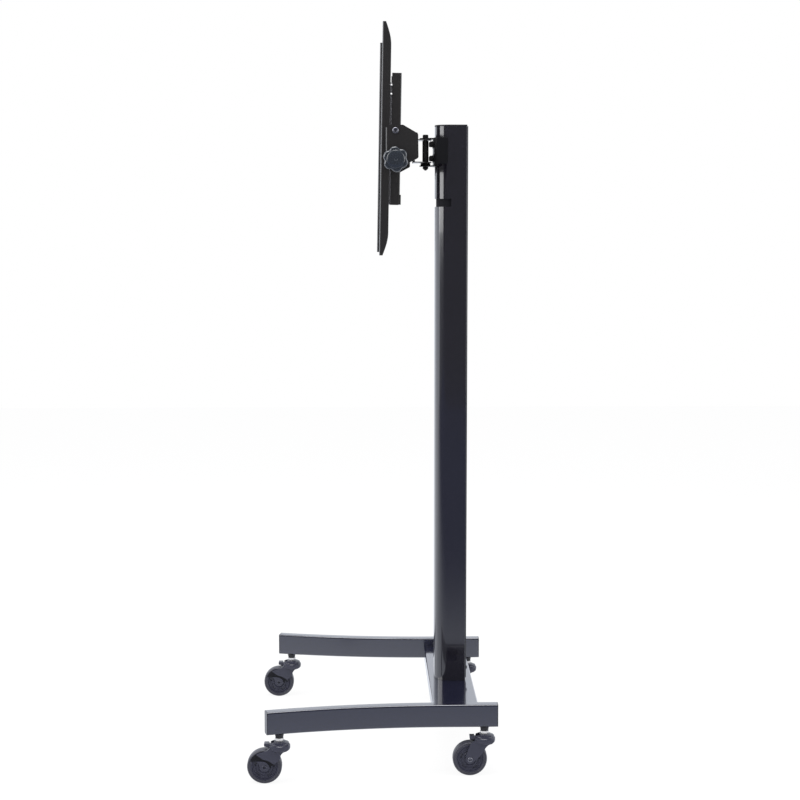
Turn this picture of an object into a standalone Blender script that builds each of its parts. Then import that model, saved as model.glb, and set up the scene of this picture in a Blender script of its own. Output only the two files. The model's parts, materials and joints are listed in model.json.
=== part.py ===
import math

import bmesh
import bpy
from mathutils import Matrix, Vector

# Metres, Z up. The screen side faces -Y, the right-hand side is +X, and the floor is Z = 0.
# A piece that touches another keeps this clearance from it.
GAP = 0.0003
# How far a cutter reaches past the piece that it cuts: freely, or where another wall is near.
CUT_PAST = 0.010
CUT_SHORT = 0.002
# An arc just under a half circle keeps a rounded end's two arcs from meeting in one point.
END_ARC = 0.98

# Casters: the wheel's radius is that of its flats, one of which rests on the floor.
WHEEL_RADIUS = 0.0375
WHEEL_FACETS = 28
WHEEL_HALF_WIDTH = 0.012
HUB_HALF_WIDTH = 0.0128
HUB_RADIUS = 0.0105
WEB_HALF_WIDTH = 0.009
WEB_SLOPE = 0.002
RIM_INNER_RADIUS = 0.029
TREAD_DROP = 0.0025
TREAD_SHOULDER = 0.0035
AXLE_RADIUS = 0.004
AXLE_BORE = AXLE_RADIUS + 0.0005
AXLE_HEAD_RADIUS = 0.0065
AXLE_HEAD_DEPTH = 0.0018
AXLE_HEAD_EASE = 0.0006
AXLE_DIMPLE_RADIUS = 0.0022
AXLE_DIMPLE = 0.001
CASTER_TRAIL = 0.032
FORK_INNER_X = 0.0135
FORK_PLATE = 0.003
FORK_OUTER_X = FORK_INNER_X + FORK_PLATE
WHEEL_ROOM_RADIUS = WHEEL_RADIUS + 0.002
HEAD_RADIUS = 0.0235
HEAD_SHOULDER_RADIUS = 0.0205
HEAD_FLAT_RADIUS = 0.0120
HEAD_BOTTOM_Z = 0.072
HEAD_TOP_Z = 0.0917
HEAD_SHOULDER_DROP = 0.003
HEAD_RIM_DROP = 0.008
HEAD_SKIRT = 0.005
BOSS_RADIUS = 0.0095
KINGPIN_RADIUS = 0.005
KINGPIN_BORE = KINGPIN_RADIUS + 0.0006
KINGPIN_BOTTOM_Z = 0.0745
STEM_WASHER_Z = 0.0935
STEM_WASHER_TOP_Z = 0.0981
STEM_WASHER_RADIUS = 0.0098
STEM_COLLAR_Z = 0.0985
STEM_COLLAR_RADIUS = 0.0096
STEM_COLLAR_FOOT_RADIUS = 0.0082
STEM_NUT_RADIUS = 0.0085
STEM_NUT_HEIGHT = 0.0075
STEM_LENGTH_IN_LEG = 0.030
BRAKE_PIN_Y = -0.0145
BRAKE_PIN_Z = 0.0825
BRAKE_PIN_RADIUS = 0.0015
BRAKE_PIN_HALF = 0.0105
BRAKE_HINGE_RADIUS = 0.0025
BRAKE_PLAY = 0.0005
BRAKE_HALF_WIDTH = 0.008
BRAKE_TIP_Y = -0.0325
BRAKE_KNEE_Y = -0.0240
BRAKE_TAB_Y = -0.0215
BRAKE_BOTTOM_Z = 0.0802
BRAKE_TIP_Z = 0.0812
BRAKE_TOP_Z = 0.0848
BRAKE_TAB_Z = 0.088
BRAKE_TAB_EASE = 0.001
BRAKE_SLOT_YS = (-0.030, -0.0105)
BRAKE_SLOT_ZS = (0.060, 0.100)

# Legs: rectangular tube, straight behind the column and bowed outwards in front of it.
LEG_BOTTOM_Z = 0.1087
LEG_HEIGHT = 0.050
LEG_WIDTH = 0.025
LEG_WALL = 0.002
LEG_CORNER = 0.004
LEG_REAR_X = 0.2903
LEG_REAR_Y = 0.272
LEG_BEND_Y = 0.157
LEG_FRONT_Y = -0.2311
LEG_BOW = 0.0486
LEG_PATH_STEPS = 10
CAP_FLANGE = 0.0015
CAP_PLUG = 0.012
REAR_STEM_Y = 0.243
FRONT_STEM_Y = -LEG_REAR_Y + WHEEL_RADIUS + CASTER_TRAIL

# Base plate: a pressed tray between the legs with upturned end tabs.
BASE_FRONT_Y = 0.133
BASE_REAR_Y = 0.234
BASE_TOP_Z = 0.139
BASE_BOTTOM_Z = 0.111
BASE_SHEET = 0.003
BASE_BEND = 0.004
BASE_INNER_BEND = 0.001
TAB_INSET_Y = 0.002
TAB_TOP_Z = 0.1545
TAB_CORNER = 0.004
BASE_BOLT_YS = (0.161, 0.206)
BASE_BOLT_Z = 0.1467
BASE_BOLT_RADIUS = 0.004
BASE_BOLT_HEAD_RADIUS = 0.0065
BASE_BOLT_HEAD = 0.006
BASE_BOLT_REACH = 0.014
BOLT_CLEARANCE = 0.0004

# Column: a crowned front, nearly square rear corners, a cover strip down the rear.
COLUMN_FRONT_Y = 0.1446
COLUMN_REAR_Y = 0.2188
COLUMN_HALF_X = 0.040
COLUMN_CROWN_RADIUS = 0.080
COLUMN_CROWN_STEPS = 8
COLUMN_CORNER = 0.005
COLUMN_REAR_CORNER = 0.0035
COLUMN_LEAST_CORNER = 0.0008
COLUMN_WALL = 0.0025
COLUMN_TOP_Z = 1.4207
FOOT_HEIGHT = 0.006
FOOT_INSET = 0.0005
COLUMN_CAP = 0.003
COLUMN_CAP_EDGE = 0.001
COLUMN_CAP_PLUG = 0.012
STRIP_THICKNESS = 0.0019
STRIP_EDGE = 0.001
STRIP_HALF_X = 0.036
FOOT_SCREW_Z = 0.166
FOOT_SCREW_X = 0.020
FOOT_SCREW_RADIUS = 0.0025
FOOT_SCREW_HEAD_RADIUS = 0.0045
FOOT_SCREW_HEAD = 0.003
FOOT_SCREW_LENGTH = 0.010

# Column bracket: a saddle round the column's front with two ears for the swivel pin.
BRACKET_BOTTOM_Z = 1.328
BRACKET_TOP_Z = 1.392
BRACKET_SHEET = 0.0025
BRACKET_BEND = 0.006
BRACKET_WRAP = 0.028
BRACKET_SIDE_RISE = 0.006
BRACKET_EAR_HALF_X = 0.024
EAR_NOSE = 0.0135
BRACKET_BOLT_X = 0.016
BRACKET_BOLT_ZS = (1.3465, 1.3785)
BRACKET_BOLT_RADIUS = 0.004
BRACKET_BOLT_FLANGE_RADIUS = 0.009
BRACKET_BOLT_HEAD_RADIUS = 0.006
BRACKET_BOLT_HEAD = 0.0092
BRACKET_BOLT_CHAMFER = 0.0012
BRACKET_BOLT_FLANGE = 0.0012
BRACKET_BOLT_FLANGE_TOP = 0.0030
BRACKET_BOLT_LENGTH = 0.014

# Swivel pin: a bolt through the bracket's ears, the yoke's ears and a barrel between them.
PIN_Y = 0.1238
PIN_RADIUS = 0.004
PIN_BORE = PIN_RADIUS + 0.0004
PIN_HEAD_RADIUS = 0.0065
PIN_HEAD_TOP_Z = 1.400
PIN_BOTTOM_Z = 1.3225
NUT_RADIUS = 0.0060
NUT_BOTTOM_Z = 1.319
NUT_SHOULDER_Z = 1.3235
WASHER_RADIUS = 0.0112
BARREL_RADIUS = 0.00715

# Yoke: a wide channel behind the head, with a U bracket on the swivel barrel.
YOKE_FRONT_Y = 0.080
YOKE_REAR_Y = 0.096
YOKE_BOTTOM_Z = 1.353
YOKE_TOP_Z = 1.390
YOKE_SHEET = 0.0025
YOKE_BEND = 0.003
YOKE_INNER_BEND = 0.001
YOKE_EAR_BOTTOM_Z = 1.336
YOKE_EAR_TOP_Z = 1.3888
YOKE_EAR_HALF_X = 0.034
YOKE_PAD_REAR_Y = 0.0985

# End plates: outside the rails, fixed to the yoke, with a front flange turned inwards.
PLATE_OUTER_X = 0.290
PLATE_SHEET = 0.0025
PLATE_INNER_X = PLATE_OUTER_X - PLATE_SHEET
PLATE_FRONT_Y = 0.0289
PLATE_FLANGE_X = 0.012
PLATE_FLANGE_BEND = 0.0035
PLATE_FLANGE_BOTTOM_Z = 1.320
PLATE_FLANGE_TOP_Z = 1.400
PLATE_FLANGE_LAP = 0.001
PLATE_FLANGE_EASE = 0.0002
PLATE_FLANGE_INNER_BEND = 0.0008
PLATE_TOP_Z = 1.4056

# Tilt: everything from here on turns about the pivot bolts.
PIVOT_Y = 0.0489
PIVOT_Z = 1.3937
REST_TILT = math.radians(-0.95)
TILT_MIN = math.radians(-4.0)
TILT_MAX = math.radians(16.0)
PIVOT_BOLT_RADIUS = 0.004
PIVOT_BOLT_HEAD_RADIUS = 0.0066
PIVOT_BOLT_HEAD = 0.004
PIVOT_BOLT_EASE = 0.001
PIVOT_BOLT_SOCKET_RADIUS = 0.0028
PIVOT_BOLT_SOCKET = 0.0022
PIVOT_BOLT_LENGTH = 0.012
# The end plate's outline from its front edge's foot, each corner as (y, z, radius).
PLATE_CORNERS = (
    (PLATE_FRONT_Y + PLATE_FLANGE_BEND, PLATE_FLANGE_BOTTOM_Z, 0.004),
    (PIVOT_Y - 0.0089, PIVOT_Z - 0.0857, 0.006),
    (PIVOT_Y + 0.0077, PIVOT_Z - 0.0857, 0.004),
    (PIVOT_Y + 0.0246, PIVOT_Z - 0.0696, 0.008),
    (PIVOT_Y + 0.0486, PIVOT_Z - 0.0569, 0.004),
    (PIVOT_Y + 0.0479, PIVOT_Z - 0.0065, 0.005),
    (PIVOT_Y + 0.0162, PLATE_TOP_Z, 0.008),
    (PLATE_FRONT_Y + PLATE_FLANGE_BEND, PLATE_TOP_Z, 0.003),
)
KNOB_Y = 0.0501
KNOB_Z = 1.3333
KNOB_LOBES = 6
KNOB_LOBE_PHASE = math.radians(38.0)
KNOB_MEAN_RADIUS = 0.0254
KNOB_LOBE_HEIGHT = 0.0018
KNOB_LOBE_BREADTH = 0.0004
KNOB_HUB_RADIUS = 0.011
KNOB_HUB = 0.005
KNOB_GRIP = 0.013
KNOB_GRIP_EDGE = 0.002
KNOB_GRIP_STEPS = 36
KNOB_CROWN_RADIUS = 0.0190
KNOB_CROWN_SLOPE = 0.004
KNOB_CROWN_SINK = 0.001
KNOB_CROWN = 0.0035
STUD_RADIUS = 0.003
STUD_SLOT_RADIUS = STUD_RADIUS + 0.0006
STUD_SLOT_OVERRUN = math.radians(4.0)
STUD_SLOT_STEPS = 8
STUD_LENGTH = 0.016

# Tilt beam: a channel open to the rear, just behind the rails.
BEAM_HALF_X = PLATE_INNER_X - 0.0005
BEAM_FRONT_Y = 0.0388
BEAM_REAR_Y = 0.058
BEAM_BOTTOM_Z = 1.318
BEAM_TOP_Z = 1.4035
BEAM_SHEET = 0.0025
BEAM_BEND = 0.003
BEAM_INNER_BEND = 0.001
BEAM_END_INSET = 0.0005
BEAM_RELIEF = 0.0002
BEAM_NOTCH_PLAY = 0.001

# Interface plate and spine on the beam's rear side.
SPINE_HALF_X = 0.045
SPINE_REAR_Y = 0.0664
SPINE_BOTTOM_Z = 1.2419
SPINE_TOP_Z = 1.5348
SPINE_SHEET = 0.002
SPINE_BEND = 0.003
SPINE_INNER_BEND = 0.001
INTERFACE_SHEET = 0.003
INTERFACE_HALF_X = SPINE_HALF_X + 0.002
INTERFACE_CORNER = 0.004
INTERFACE_TOP_Z = 1.514
INTERFACE_SCREW_ZS = (1.488, 1.508)
INTERFACE_SCREW_INSET = 0.0009
INTERFACE_SCREW_RADIUS = 0.0021
INTERFACE_SCREW_HEAD = 0.0018
SPINE_FOOT_DEPTH = 0.0023
SPINE_FOOT_HEIGHT = 0.022

# Rails: channels whose flat webs carry the screen.
RAIL_X = 0.2117
RAIL_HALF_X = 0.015
RAIL_FRONT_Y = 0.0197
RAIL_REAR_Y = BEAM_FRONT_Y - GAP
RAIL_BOTTOM_Z = 1.1305
RAIL_TOP_Z = 1.6263
RAIL_SHEET = 0.002
RAIL_BEND = 0.003
RAIL_END_DEPTH = 0.007
RAIL_END_CURVE = 0.050
RAIL_END_STEPS = 6
RAIL_SLOT_LENGTH = 0.30 * (RAIL_TOP_Z - RAIL_BOTTOM_Z)
RAIL_SLOT_END = 0.039
RAIL_SLOT_RADIUS = 0.0045
CLAMP_HALF_X = 0.0115
CLAMP_SHEET = 0.003
CLAMP_LIP = 0.010
CLAMP_FOOT = 0.012

ALONG_X = Matrix(((0, 0, 1, 0), (1, 0, 0, 0), (0, 1, 0, 0), (0, 0, 0, 1)))
ALONG_Y = Matrix(((1, 0, 0, 0), (0, 0, -1, 0), (0, 1, 0, 0), (0, 0, 0, 1)))
ALONG_Z = Matrix.Identity(4)


def clear_scene():
    for obj in list(bpy.data.objects):
        bpy.data.objects.remove(obj, do_unlink=True)


def collection(name):
    found = bpy.data.collections.new(name)
    bpy.context.scene.collection.children.link(found)
    return found


def material(name, colour, roughness, metallic):
    made = bpy.data.materials.new(name)
    made.use_nodes = True
    shader = made.node_tree.nodes["Principled BSDF"]
    shader.inputs["Base Color"].default_value = (*colour, 1.0)
    shader.inputs["Roughness"].default_value = roughness
    shader.inputs["Metallic"].default_value = metallic
    made.diffuse_color = (*colour, 1.0)
    return made


clear_scene()
PARTS = collection("pedestal_tv_stand")
CUTTERS = collection("cutters")
LEG_PAINT = material("leg_paint", (0.045, 0.050, 0.065), 0.32, 0.0)
COLUMN_PAINT = material("column_paint", (0.040, 0.045, 0.060), 0.25, 0.0)
HEAD_PAINT = material("head_paint", (0.022, 0.021, 0.022), 0.42, 0.0)
BLACK_PLASTIC = material("black_plastic", (0.020, 0.020, 0.023), 0.45, 0.0)
KNOB_PLASTIC = material("knob_plastic", (0.060, 0.070, 0.085), 0.28, 0.0)
CASTER_PLASTIC = material("caster_plastic", (0.035, 0.037, 0.045), 0.33, 0.0)
TREAD = material("tread", (0.045, 0.045, 0.050), 0.55, 0.0)
ZINC = material("zinc", (0.62, 0.62, 0.64), 0.30, 1.0)
BLACK_STEEL = material("black_steel", (0.030, 0.030, 0.032), 0.38, 0.8)


def working(name, mesh):
    """A working shape: hidden from renders, in the cutters' collection."""
    obj = bpy.data.objects.new(name, mesh)
    obj.hide_render = True
    obj.display_type = "WIRE"
    CUTTERS.objects.link(obj)
    return obj


def evaluated_mesh(obj):
    """The mesh of an object with its modifiers, in world space."""
    bpy.context.view_layer.update()
    graph = bpy.context.evaluated_depsgraph_get()
    mesh = bpy.data.meshes.new_from_object(obj.evaluated_get(graph))
    mesh.transform(obj.matrix_world)
    return mesh


def welded(mesh):
    """The mesh with its doubled points made one and its faces turned outwards."""
    body = bmesh.new()
    body.from_mesh(mesh)
    bmesh.ops.remove_doubles(body, verts=body.verts, dist=1e-6)
    bmesh.ops.recalc_face_normals(body, faces=body.faces)
    body.to_mesh(mesh)
    body.free()
    return mesh


def rounded(corners, steps=4):
    """A closed outline from (a, b, radius) corners, each radius made an arc."""
    outline = []
    count = len(corners)
    for index, (a, b, radius) in enumerate(corners):
        here = Vector((a, b))
        if radius <= 0.0:
            outline.append((a, b))
            continue
        before = Vector(corners[index - 1][:2]) - here
        after = Vector(corners[(index + 1) % count][:2]) - here
        before.normalize()
        after.normalize()
        half = before.angle(after) / 2.0
        centre = here + (before + after).normalized() * (radius / math.sin(half))
        start = here + before * (radius / math.tan(half)) - centre
        end = here + after * (radius / math.tan(half)) - centre
        sweep = start.angle_signed(end)
        for step in range(steps + 1):
            turned_by = Matrix.Rotation(-sweep * step / steps, 2)
            point = centre + turned_by @ start
            outline.append((point.x, point.y))
    return outline


def spline_into(curve, outline):
    spline = curve.splines.new("POLY")
    spline.points.add(len(outline) - 1)
    for point, (a, b) in zip(spline.points, outline):
        point.co = (a, b, 0.0, 1.0)
    spline.use_cyclic_u = True


def prism(name, outlines, low, high, axes):
    """Flat outlines, the first the outer one, made solid from low to high along the third axis."""
    curve = bpy.data.curves.new(name, "CURVE")
    curve.dimensions = "2D"
    curve.fill_mode = "BOTH"
    curve.extrude = (high - low) / 2.0
    for outline in outlines:
        spline_into(curve, outline)
    flat = working(name + "_outline", curve)
    middle = (low + high) / 2.0
    if axes is ALONG_Y:
        middle = -middle
    flat.matrix_world = axes @ Matrix.Translation((0.0, 0.0, middle))
    mesh = welded(evaluated_mesh(flat))
    bpy.data.objects.remove(flat, do_unlink=True)
    return working(name, mesh)


def block(name, low, high):
    """A box between two corners."""
    body = bmesh.new()
    bmesh.ops.create_cube(body, size=1.0)
    size = Vector(high) - Vector(low)
    middle = (Vector(high) + Vector(low)) / 2.0
    bmesh.ops.scale(body, verts=body.verts, vec=size)
    bmesh.ops.translate(body, verts=body.verts, vec=middle)
    mesh = bpy.data.meshes.new(name)
    body.to_mesh(mesh)
    body.free()
    return working(name, mesh)


def turned(name, profile, steps, axes=ALONG_Z, closed=False, start=0.0):
    """A turned shape: the (radius, height) profile runs down its outer side."""
    body = bmesh.new()
    points = [body.verts.new((radius, 0.0, height)) for radius, height in profile]
    ends = points[1:] + points[:1] if closed else points[1:]
    for first, second in zip(points, ends):
        body.edges.new((first, second))
    mesh = bpy.data.meshes.new(name)
    body.to_mesh(mesh)
    body.free()
    obj = working(name, mesh)
    obj.matrix_world = axes @ Matrix.Rotation(start, 4, "Z")
    screw = obj.modifiers.new("turn", "SCREW")
    screw.steps = steps
    screw.render_steps = steps
    screw.use_merge_vertices = True
    screw.merge_threshold = 1e-5
    screw.use_smooth_shade = True
    done = evaluated_mesh(obj)
    bpy.data.objects.remove(obj, do_unlink=True)
    return working(name, welded(done))


def rod(name, centre, radius, low, high, axes, steps=16, start=0.0):
    """A cylinder along one axis; centre is its place on the other two, in the outline's order."""
    body = bmesh.new()
    bmesh.ops.create_cone(
        body, cap_ends=True, segments=steps, radius1=radius, radius2=radius, depth=high - low
    )
    bmesh.ops.rotate(body, verts=body.verts, matrix=Matrix.Rotation(start, 3, "Z"))
    middle = (low + high) / 2.0
    if axes is ALONG_Y:
        middle = -middle
    mesh = bpy.data.meshes.new(name)
    body.to_mesh(mesh)
    body.free()
    mesh.transform(axes @ Matrix.Translation((centre[0], centre[1], middle)))
    return working(name, mesh)


def changed(obj, operation, others):
    """The object with others added to it, cut from it, or kept in common with it."""
    for other in others:
        modifier = obj.modifiers.new(operation.lower(), "BOOLEAN")
        modifier.operation = operation
        modifier.solver = "EXACT"
        modifier.object = other
    mesh = evaluated_mesh(obj)
    obj.modifiers.clear()
    obj.data = mesh
    obj.matrix_world = Matrix.Identity(4)
    return obj


def bevelled(obj, width):
    """The object with its sharp edges rounded."""
    modifier = obj.modifiers.new("edge", "BEVEL")
    modifier.width = width
    modifier.segments = 2
    modifier.limit_method = "ANGLE"
    modifier.angle_limit = math.radians(50.0)
    obj.data = evaluated_mesh(obj)
    obj.modifiers.clear()
    return obj


def mirrored(mesh):
    """The left-hand twin of a right-hand mesh."""
    twin = mesh.copy()
    twin.transform(Matrix.Scale(-1.0, 4, (1.0, 0.0, 0.0)))
    twin.flip_normals()
    return twin


def part(name, mesh, paint, parent=None, place=(0.0, 0.0, 0.0), origin=(0.0, 0.0, 0.0)):
    """A finished piece. The mesh, drawn about origin, is put at place on its parent."""
    mesh.transform(Matrix.Translation(-Vector(origin)))
    mesh.materials.clear()
    mesh.materials.append(paint)
    mesh.polygons.foreach_set("use_smooth", [True] * len(mesh.polygons))
    mesh.set_sharp_from_angle(angle=math.radians(35.0))
    obj = bpy.data.objects.new(name, mesh)
    obj.location = place
    if parent is not None:
        obj.parent = parent
    PARTS.objects.link(obj)
    return obj


def axis_empty(name, place, parent=None):
    empty = bpy.data.objects.new(name, None)
    empty.empty_display_size = 0.02
    empty.location = place
    if parent is not None:
        empty.parent = parent
    PARTS.objects.link(empty)
    return empty


def leg_radius():
    """Radius of the leg's bend, from how far it bows over its length."""
    reach = LEG_BEND_Y - LEG_FRONT_Y
    return (reach * reach + LEG_BOW * LEG_BOW) / (2.0 * LEG_BOW)


def leg_angle(y):
    """How far the leg has turned outwards at a place in front of the bend."""
    return math.asin((LEG_BEND_Y - y) / leg_radius())


def leg_centre(y):
    """X of the right leg's centre line."""
    if y >= LEG_BEND_Y:
        return LEG_REAR_X
    return LEG_REAR_X + leg_radius() * (1.0 - math.cos(leg_angle(y)))


def section(width, height, corner, steps=2):
    return rounded(
        [
            (width / 2, -height / 2, corner),
            (width / 2, height / 2, corner),
            (-width / 2, height / 2, corner),
            (-width / 2, -height / 2, corner),
        ],
        steps,
    )


def swept(name, path, outline):
    """A closed section carried along a level path."""
    profile_curve = bpy.data.curves.new(name + "_section", "CURVE")
    profile_curve.dimensions = "2D"
    spline_into(profile_curve, outline)
    profile = working(name + "_section", profile_curve)
    curve = bpy.data.curves.new(name, "CURVE")
    curve.dimensions = "3D"
    curve.twist_mode = "Z_UP"
    curve.bevel_mode = "OBJECT"
    curve.bevel_object = profile
    curve.use_fill_caps = True
    spline = curve.splines.new("POLY")
    spline.points.add(len(path) - 1)
    for point, (x, y, z) in zip(spline.points, path):
        point.co = (x, y, z, 1.0)
    line = working(name + "_path", curve)
    mesh = welded(evaluated_mesh(line))
    bpy.data.objects.remove(line, do_unlink=True)
    bpy.data.objects.remove(profile, do_unlink=True)
    return working(name, mesh)


def leg_path(extra):
    """Centre line of the right leg's tube, drawn out by extra at both ends."""
    z = LEG_BOTTOM_Z + LEG_HEIGHT / 2.0
    face = CAP_FLANGE + GAP
    points = [(LEG_REAR_X, LEG_REAR_Y - face + extra, z), (LEG_REAR_X, LEG_BEND_Y, z)]
    last = leg_angle(LEG_FRONT_Y) - face / leg_radius()
    for step in range(1, LEG_PATH_STEPS + 1):
        angle = last * step / LEG_PATH_STEPS
        x = LEG_REAR_X + leg_radius() * (1.0 - math.cos(angle))
        y = LEG_BEND_Y - leg_radius() * math.sin(angle)
        points.append((x, y, z))
    if extra > 0.0:
        points.append((x + extra * math.sin(last), y - extra * math.cos(last), z))
    return points


def base_bolt_hole(y, low, high):
    return rod(
        "base_bolt_hole", (y, BASE_BOLT_Z), BASE_BOLT_RADIUS + BOLT_CLEARANCE, low, high, ALONG_X, 12
    )


def make_legs():
    outer = swept("leg", leg_path(0.0), section(LEG_WIDTH, LEG_HEIGHT, LEG_CORNER))
    wall = 2.0 * LEG_WALL
    bore_section = section(LEG_WIDTH - wall, LEG_HEIGHT - wall, LEG_CORNER - LEG_WALL)
    cutters = [swept("leg_bore", leg_path(CUT_PAST), bore_section)]
    for y in (REAR_STEM_Y, FRONT_STEM_Y):
        low = LEG_BOTTOM_Z - CUT_PAST
        high = LEG_BOTTOM_Z + LEG_WALL + CUT_SHORT
        centre = (leg_centre(y), y)
        cutters.append(rod("stem_hole", centre, KINGPIN_BORE, low, high, ALONG_Z, 16))
    for y in BASE_BOLT_YS:
        cutters.append(base_bolt_hole(y, LEG_REAR_X - LEG_WIDTH, LEG_REAR_X))
    tube = changed(outer, "DIFFERENCE", cutters)
    part("leg_right", tube.data.copy(), LEG_PAINT)
    part("leg_left", mirrored(tube.data), LEG_PAINT)


def make_leg_caps():
    flange = prism(
        "cap_flange",
        [section(LEG_WIDTH, LEG_HEIGHT, LEG_CORNER)],
        GAP,
        GAP + CAP_FLANGE,
        ALONG_Y,
    )
    shrink = 2.0 * (LEG_WALL + GAP)
    plug_section = section(LEG_WIDTH - shrink, LEG_HEIGHT - shrink, LEG_CORNER - LEG_WALL)
    plug = prism("cap_plug", [plug_section], -CAP_PLUG, GAP + CAP_FLANGE / 2, ALONG_Y)
    cap = changed(flange, "UNION", [plug])
    middle = LEG_BOTTOM_Z + LEG_HEIGHT / 2.0
    face = CAP_FLANGE + GAP
    turn = leg_angle(LEG_FRONT_Y) - face / leg_radius()
    front_x = LEG_REAR_X + leg_radius() * (1.0 - math.cos(turn))
    front_y = LEG_BEND_Y - leg_radius() * math.sin(turn)
    for side, name in ((1, "right"), (-1, "left")):
        mesh = cap.data.copy()
        mesh.transform(Matrix.Translation((side * LEG_REAR_X, LEG_REAR_Y - face, middle)))
        part("leg_cap_rear_" + name, mesh, BLACK_PLASTIC)
        mesh = cap.data.copy()
        mesh.transform(Matrix.Rotation(math.pi + side * turn, 4, "Z"))
        mesh.transform(Matrix.Translation((side * front_x, front_y, middle)))
        part("leg_cap_front_" + name, mesh, BLACK_PLASTIC)


def make_base_plate():
    inner = LEG_REAR_X - LEG_WIDTH / 2.0 - GAP
    tray = rounded(
        [
            (BASE_FRONT_Y, BASE_BOTTOM_Z, 0.0),
            (BASE_FRONT_Y, BASE_TOP_Z, BASE_BEND),
            (BASE_REAR_Y, BASE_TOP_Z, BASE_BEND),
            (BASE_REAR_Y, BASE_BOTTOM_Z, 0.0),
            (BASE_REAR_Y - BASE_SHEET, BASE_BOTTOM_Z, 0.0),
            (BASE_REAR_Y - BASE_SHEET, BASE_TOP_Z - BASE_SHEET, BASE_INNER_BEND),
            (BASE_FRONT_Y + BASE_SHEET, BASE_TOP_Z - BASE_SHEET, BASE_INNER_BEND),
            (BASE_FRONT_Y + BASE_SHEET, BASE_BOTTOM_Z, 0.0),
        ]
    )
    plate = prism("base_tray", [tray], -inner, inner, ALONG_X)
    tab = rounded(
        [
            (BASE_FRONT_Y + TAB_INSET_Y, BASE_TOP_Z - BASE_SHEET / 2, 0.0),
            (BASE_REAR_Y - TAB_INSET_Y, BASE_TOP_Z - BASE_SHEET / 2, 0.0),
            (BASE_REAR_Y - TAB_INSET_Y, TAB_TOP_Z, TAB_CORNER),
            (BASE_FRONT_Y + TAB_INSET_Y, TAB_TOP_Z, TAB_CORNER),
        ]
    )
    tabs = []
    holes = []
    for side in (-1, 1):
        low, high = sorted((side * inner, side * (inner - BASE_SHEET)))
        tabs.append(prism("base_tab", [tab], low, high, ALONG_X))
        for y in BASE_BOLT_YS:
            holes.append(base_bolt_hole(y, low - CUT_SHORT, high + CUT_SHORT))
    plate = changed(plate, "UNION", tabs)
    plate = changed(plate, "DIFFERENCE", holes)
    part("base_plate", plate.data, LEG_PAINT)


def make_base_bolts():
    head_x = LEG_REAR_X - LEG_WIDTH / 2.0 - 2.0 * GAP - BASE_SHEET
    tip_x = LEG_REAR_X - LEG_WIDTH / 2.0 + BASE_BOLT_REACH
    head = rod(
        "base_bolt_head",
        (0.0, 0.0),
        BASE_BOLT_HEAD_RADIUS,
        head_x - BASE_BOLT_HEAD,
        head_x,
        ALONG_X,
        6,
    )
    shank = rod(
        "base_bolt_shank",
        (0.0, 0.0),
        BASE_BOLT_RADIUS,
        head_x - BASE_BOLT_HEAD / 2.0,
        tip_x,
        ALONG_X,
        12,
    )
    bolt = changed(head, "UNION", [shank])
    for number, y in enumerate(BASE_BOLT_YS, 1):
        for mesh, name in ((bolt.data.copy(), "right"), (mirrored(bolt.data), "left")):
            place = (0.0, y, BASE_BOLT_Z)
            part(f"base_bolt_{name}_{number}", mesh, BLACK_STEEL, place=place)


def column_outline(inset):
    """The column's section, drawn in by inset from its painted face."""
    rear = COLUMN_REAR_Y - STRIP_THICKNESS - GAP - inset
    half = COLUMN_HALF_X - inset
    rear_corner = max(COLUMN_REAR_CORNER - inset, COLUMN_LEAST_CORNER)
    corners = [(half, rear, rear_corner), (-half, rear, rear_corner)]
    radius = COLUMN_CROWN_RADIUS - inset
    turn = math.asin(half / radius)
    for step in range(COLUMN_CROWN_STEPS + 1):
        angle = turn * (2.0 * step / COLUMN_CROWN_STEPS - 1.0)
        corner = COLUMN_CORNER - inset if step in (0, COLUMN_CROWN_STEPS) else 0.0
        y = COLUMN_FRONT_Y + COLUMN_CROWN_RADIUS - radius * math.cos(angle)
        corners.append((radius * math.sin(angle), y, corner))
    return rounded(corners, 3)


def bracket_bolt_holes():
    low = COLUMN_FRONT_Y - CUT_PAST
    high = COLUMN_FRONT_Y + CUT_PAST
    holes = []
    for x in (-BRACKET_BOLT_X, BRACKET_BOLT_X):
        for z in BRACKET_BOLT_ZS:
            radius = BRACKET_BOLT_RADIUS + BOLT_CLEARANCE
            holes.append(rod("bracket_hole", (x, z), radius, low, high, ALONG_Y, 12))
    return holes


def foot_screw_holes():
    low = COLUMN_REAR_Y - CUT_PAST
    high = COLUMN_REAR_Y + CUT_SHORT
    radius = FOOT_SCREW_RADIUS + BOLT_CLEARANCE
    holes = []
    for x in (-FOOT_SCREW_X, FOOT_SCREW_X):
        holes.append(rod("screw_hole", (x, FOOT_SCREW_Z), radius, low, high, ALONG_Y, 10))
    return holes


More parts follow.
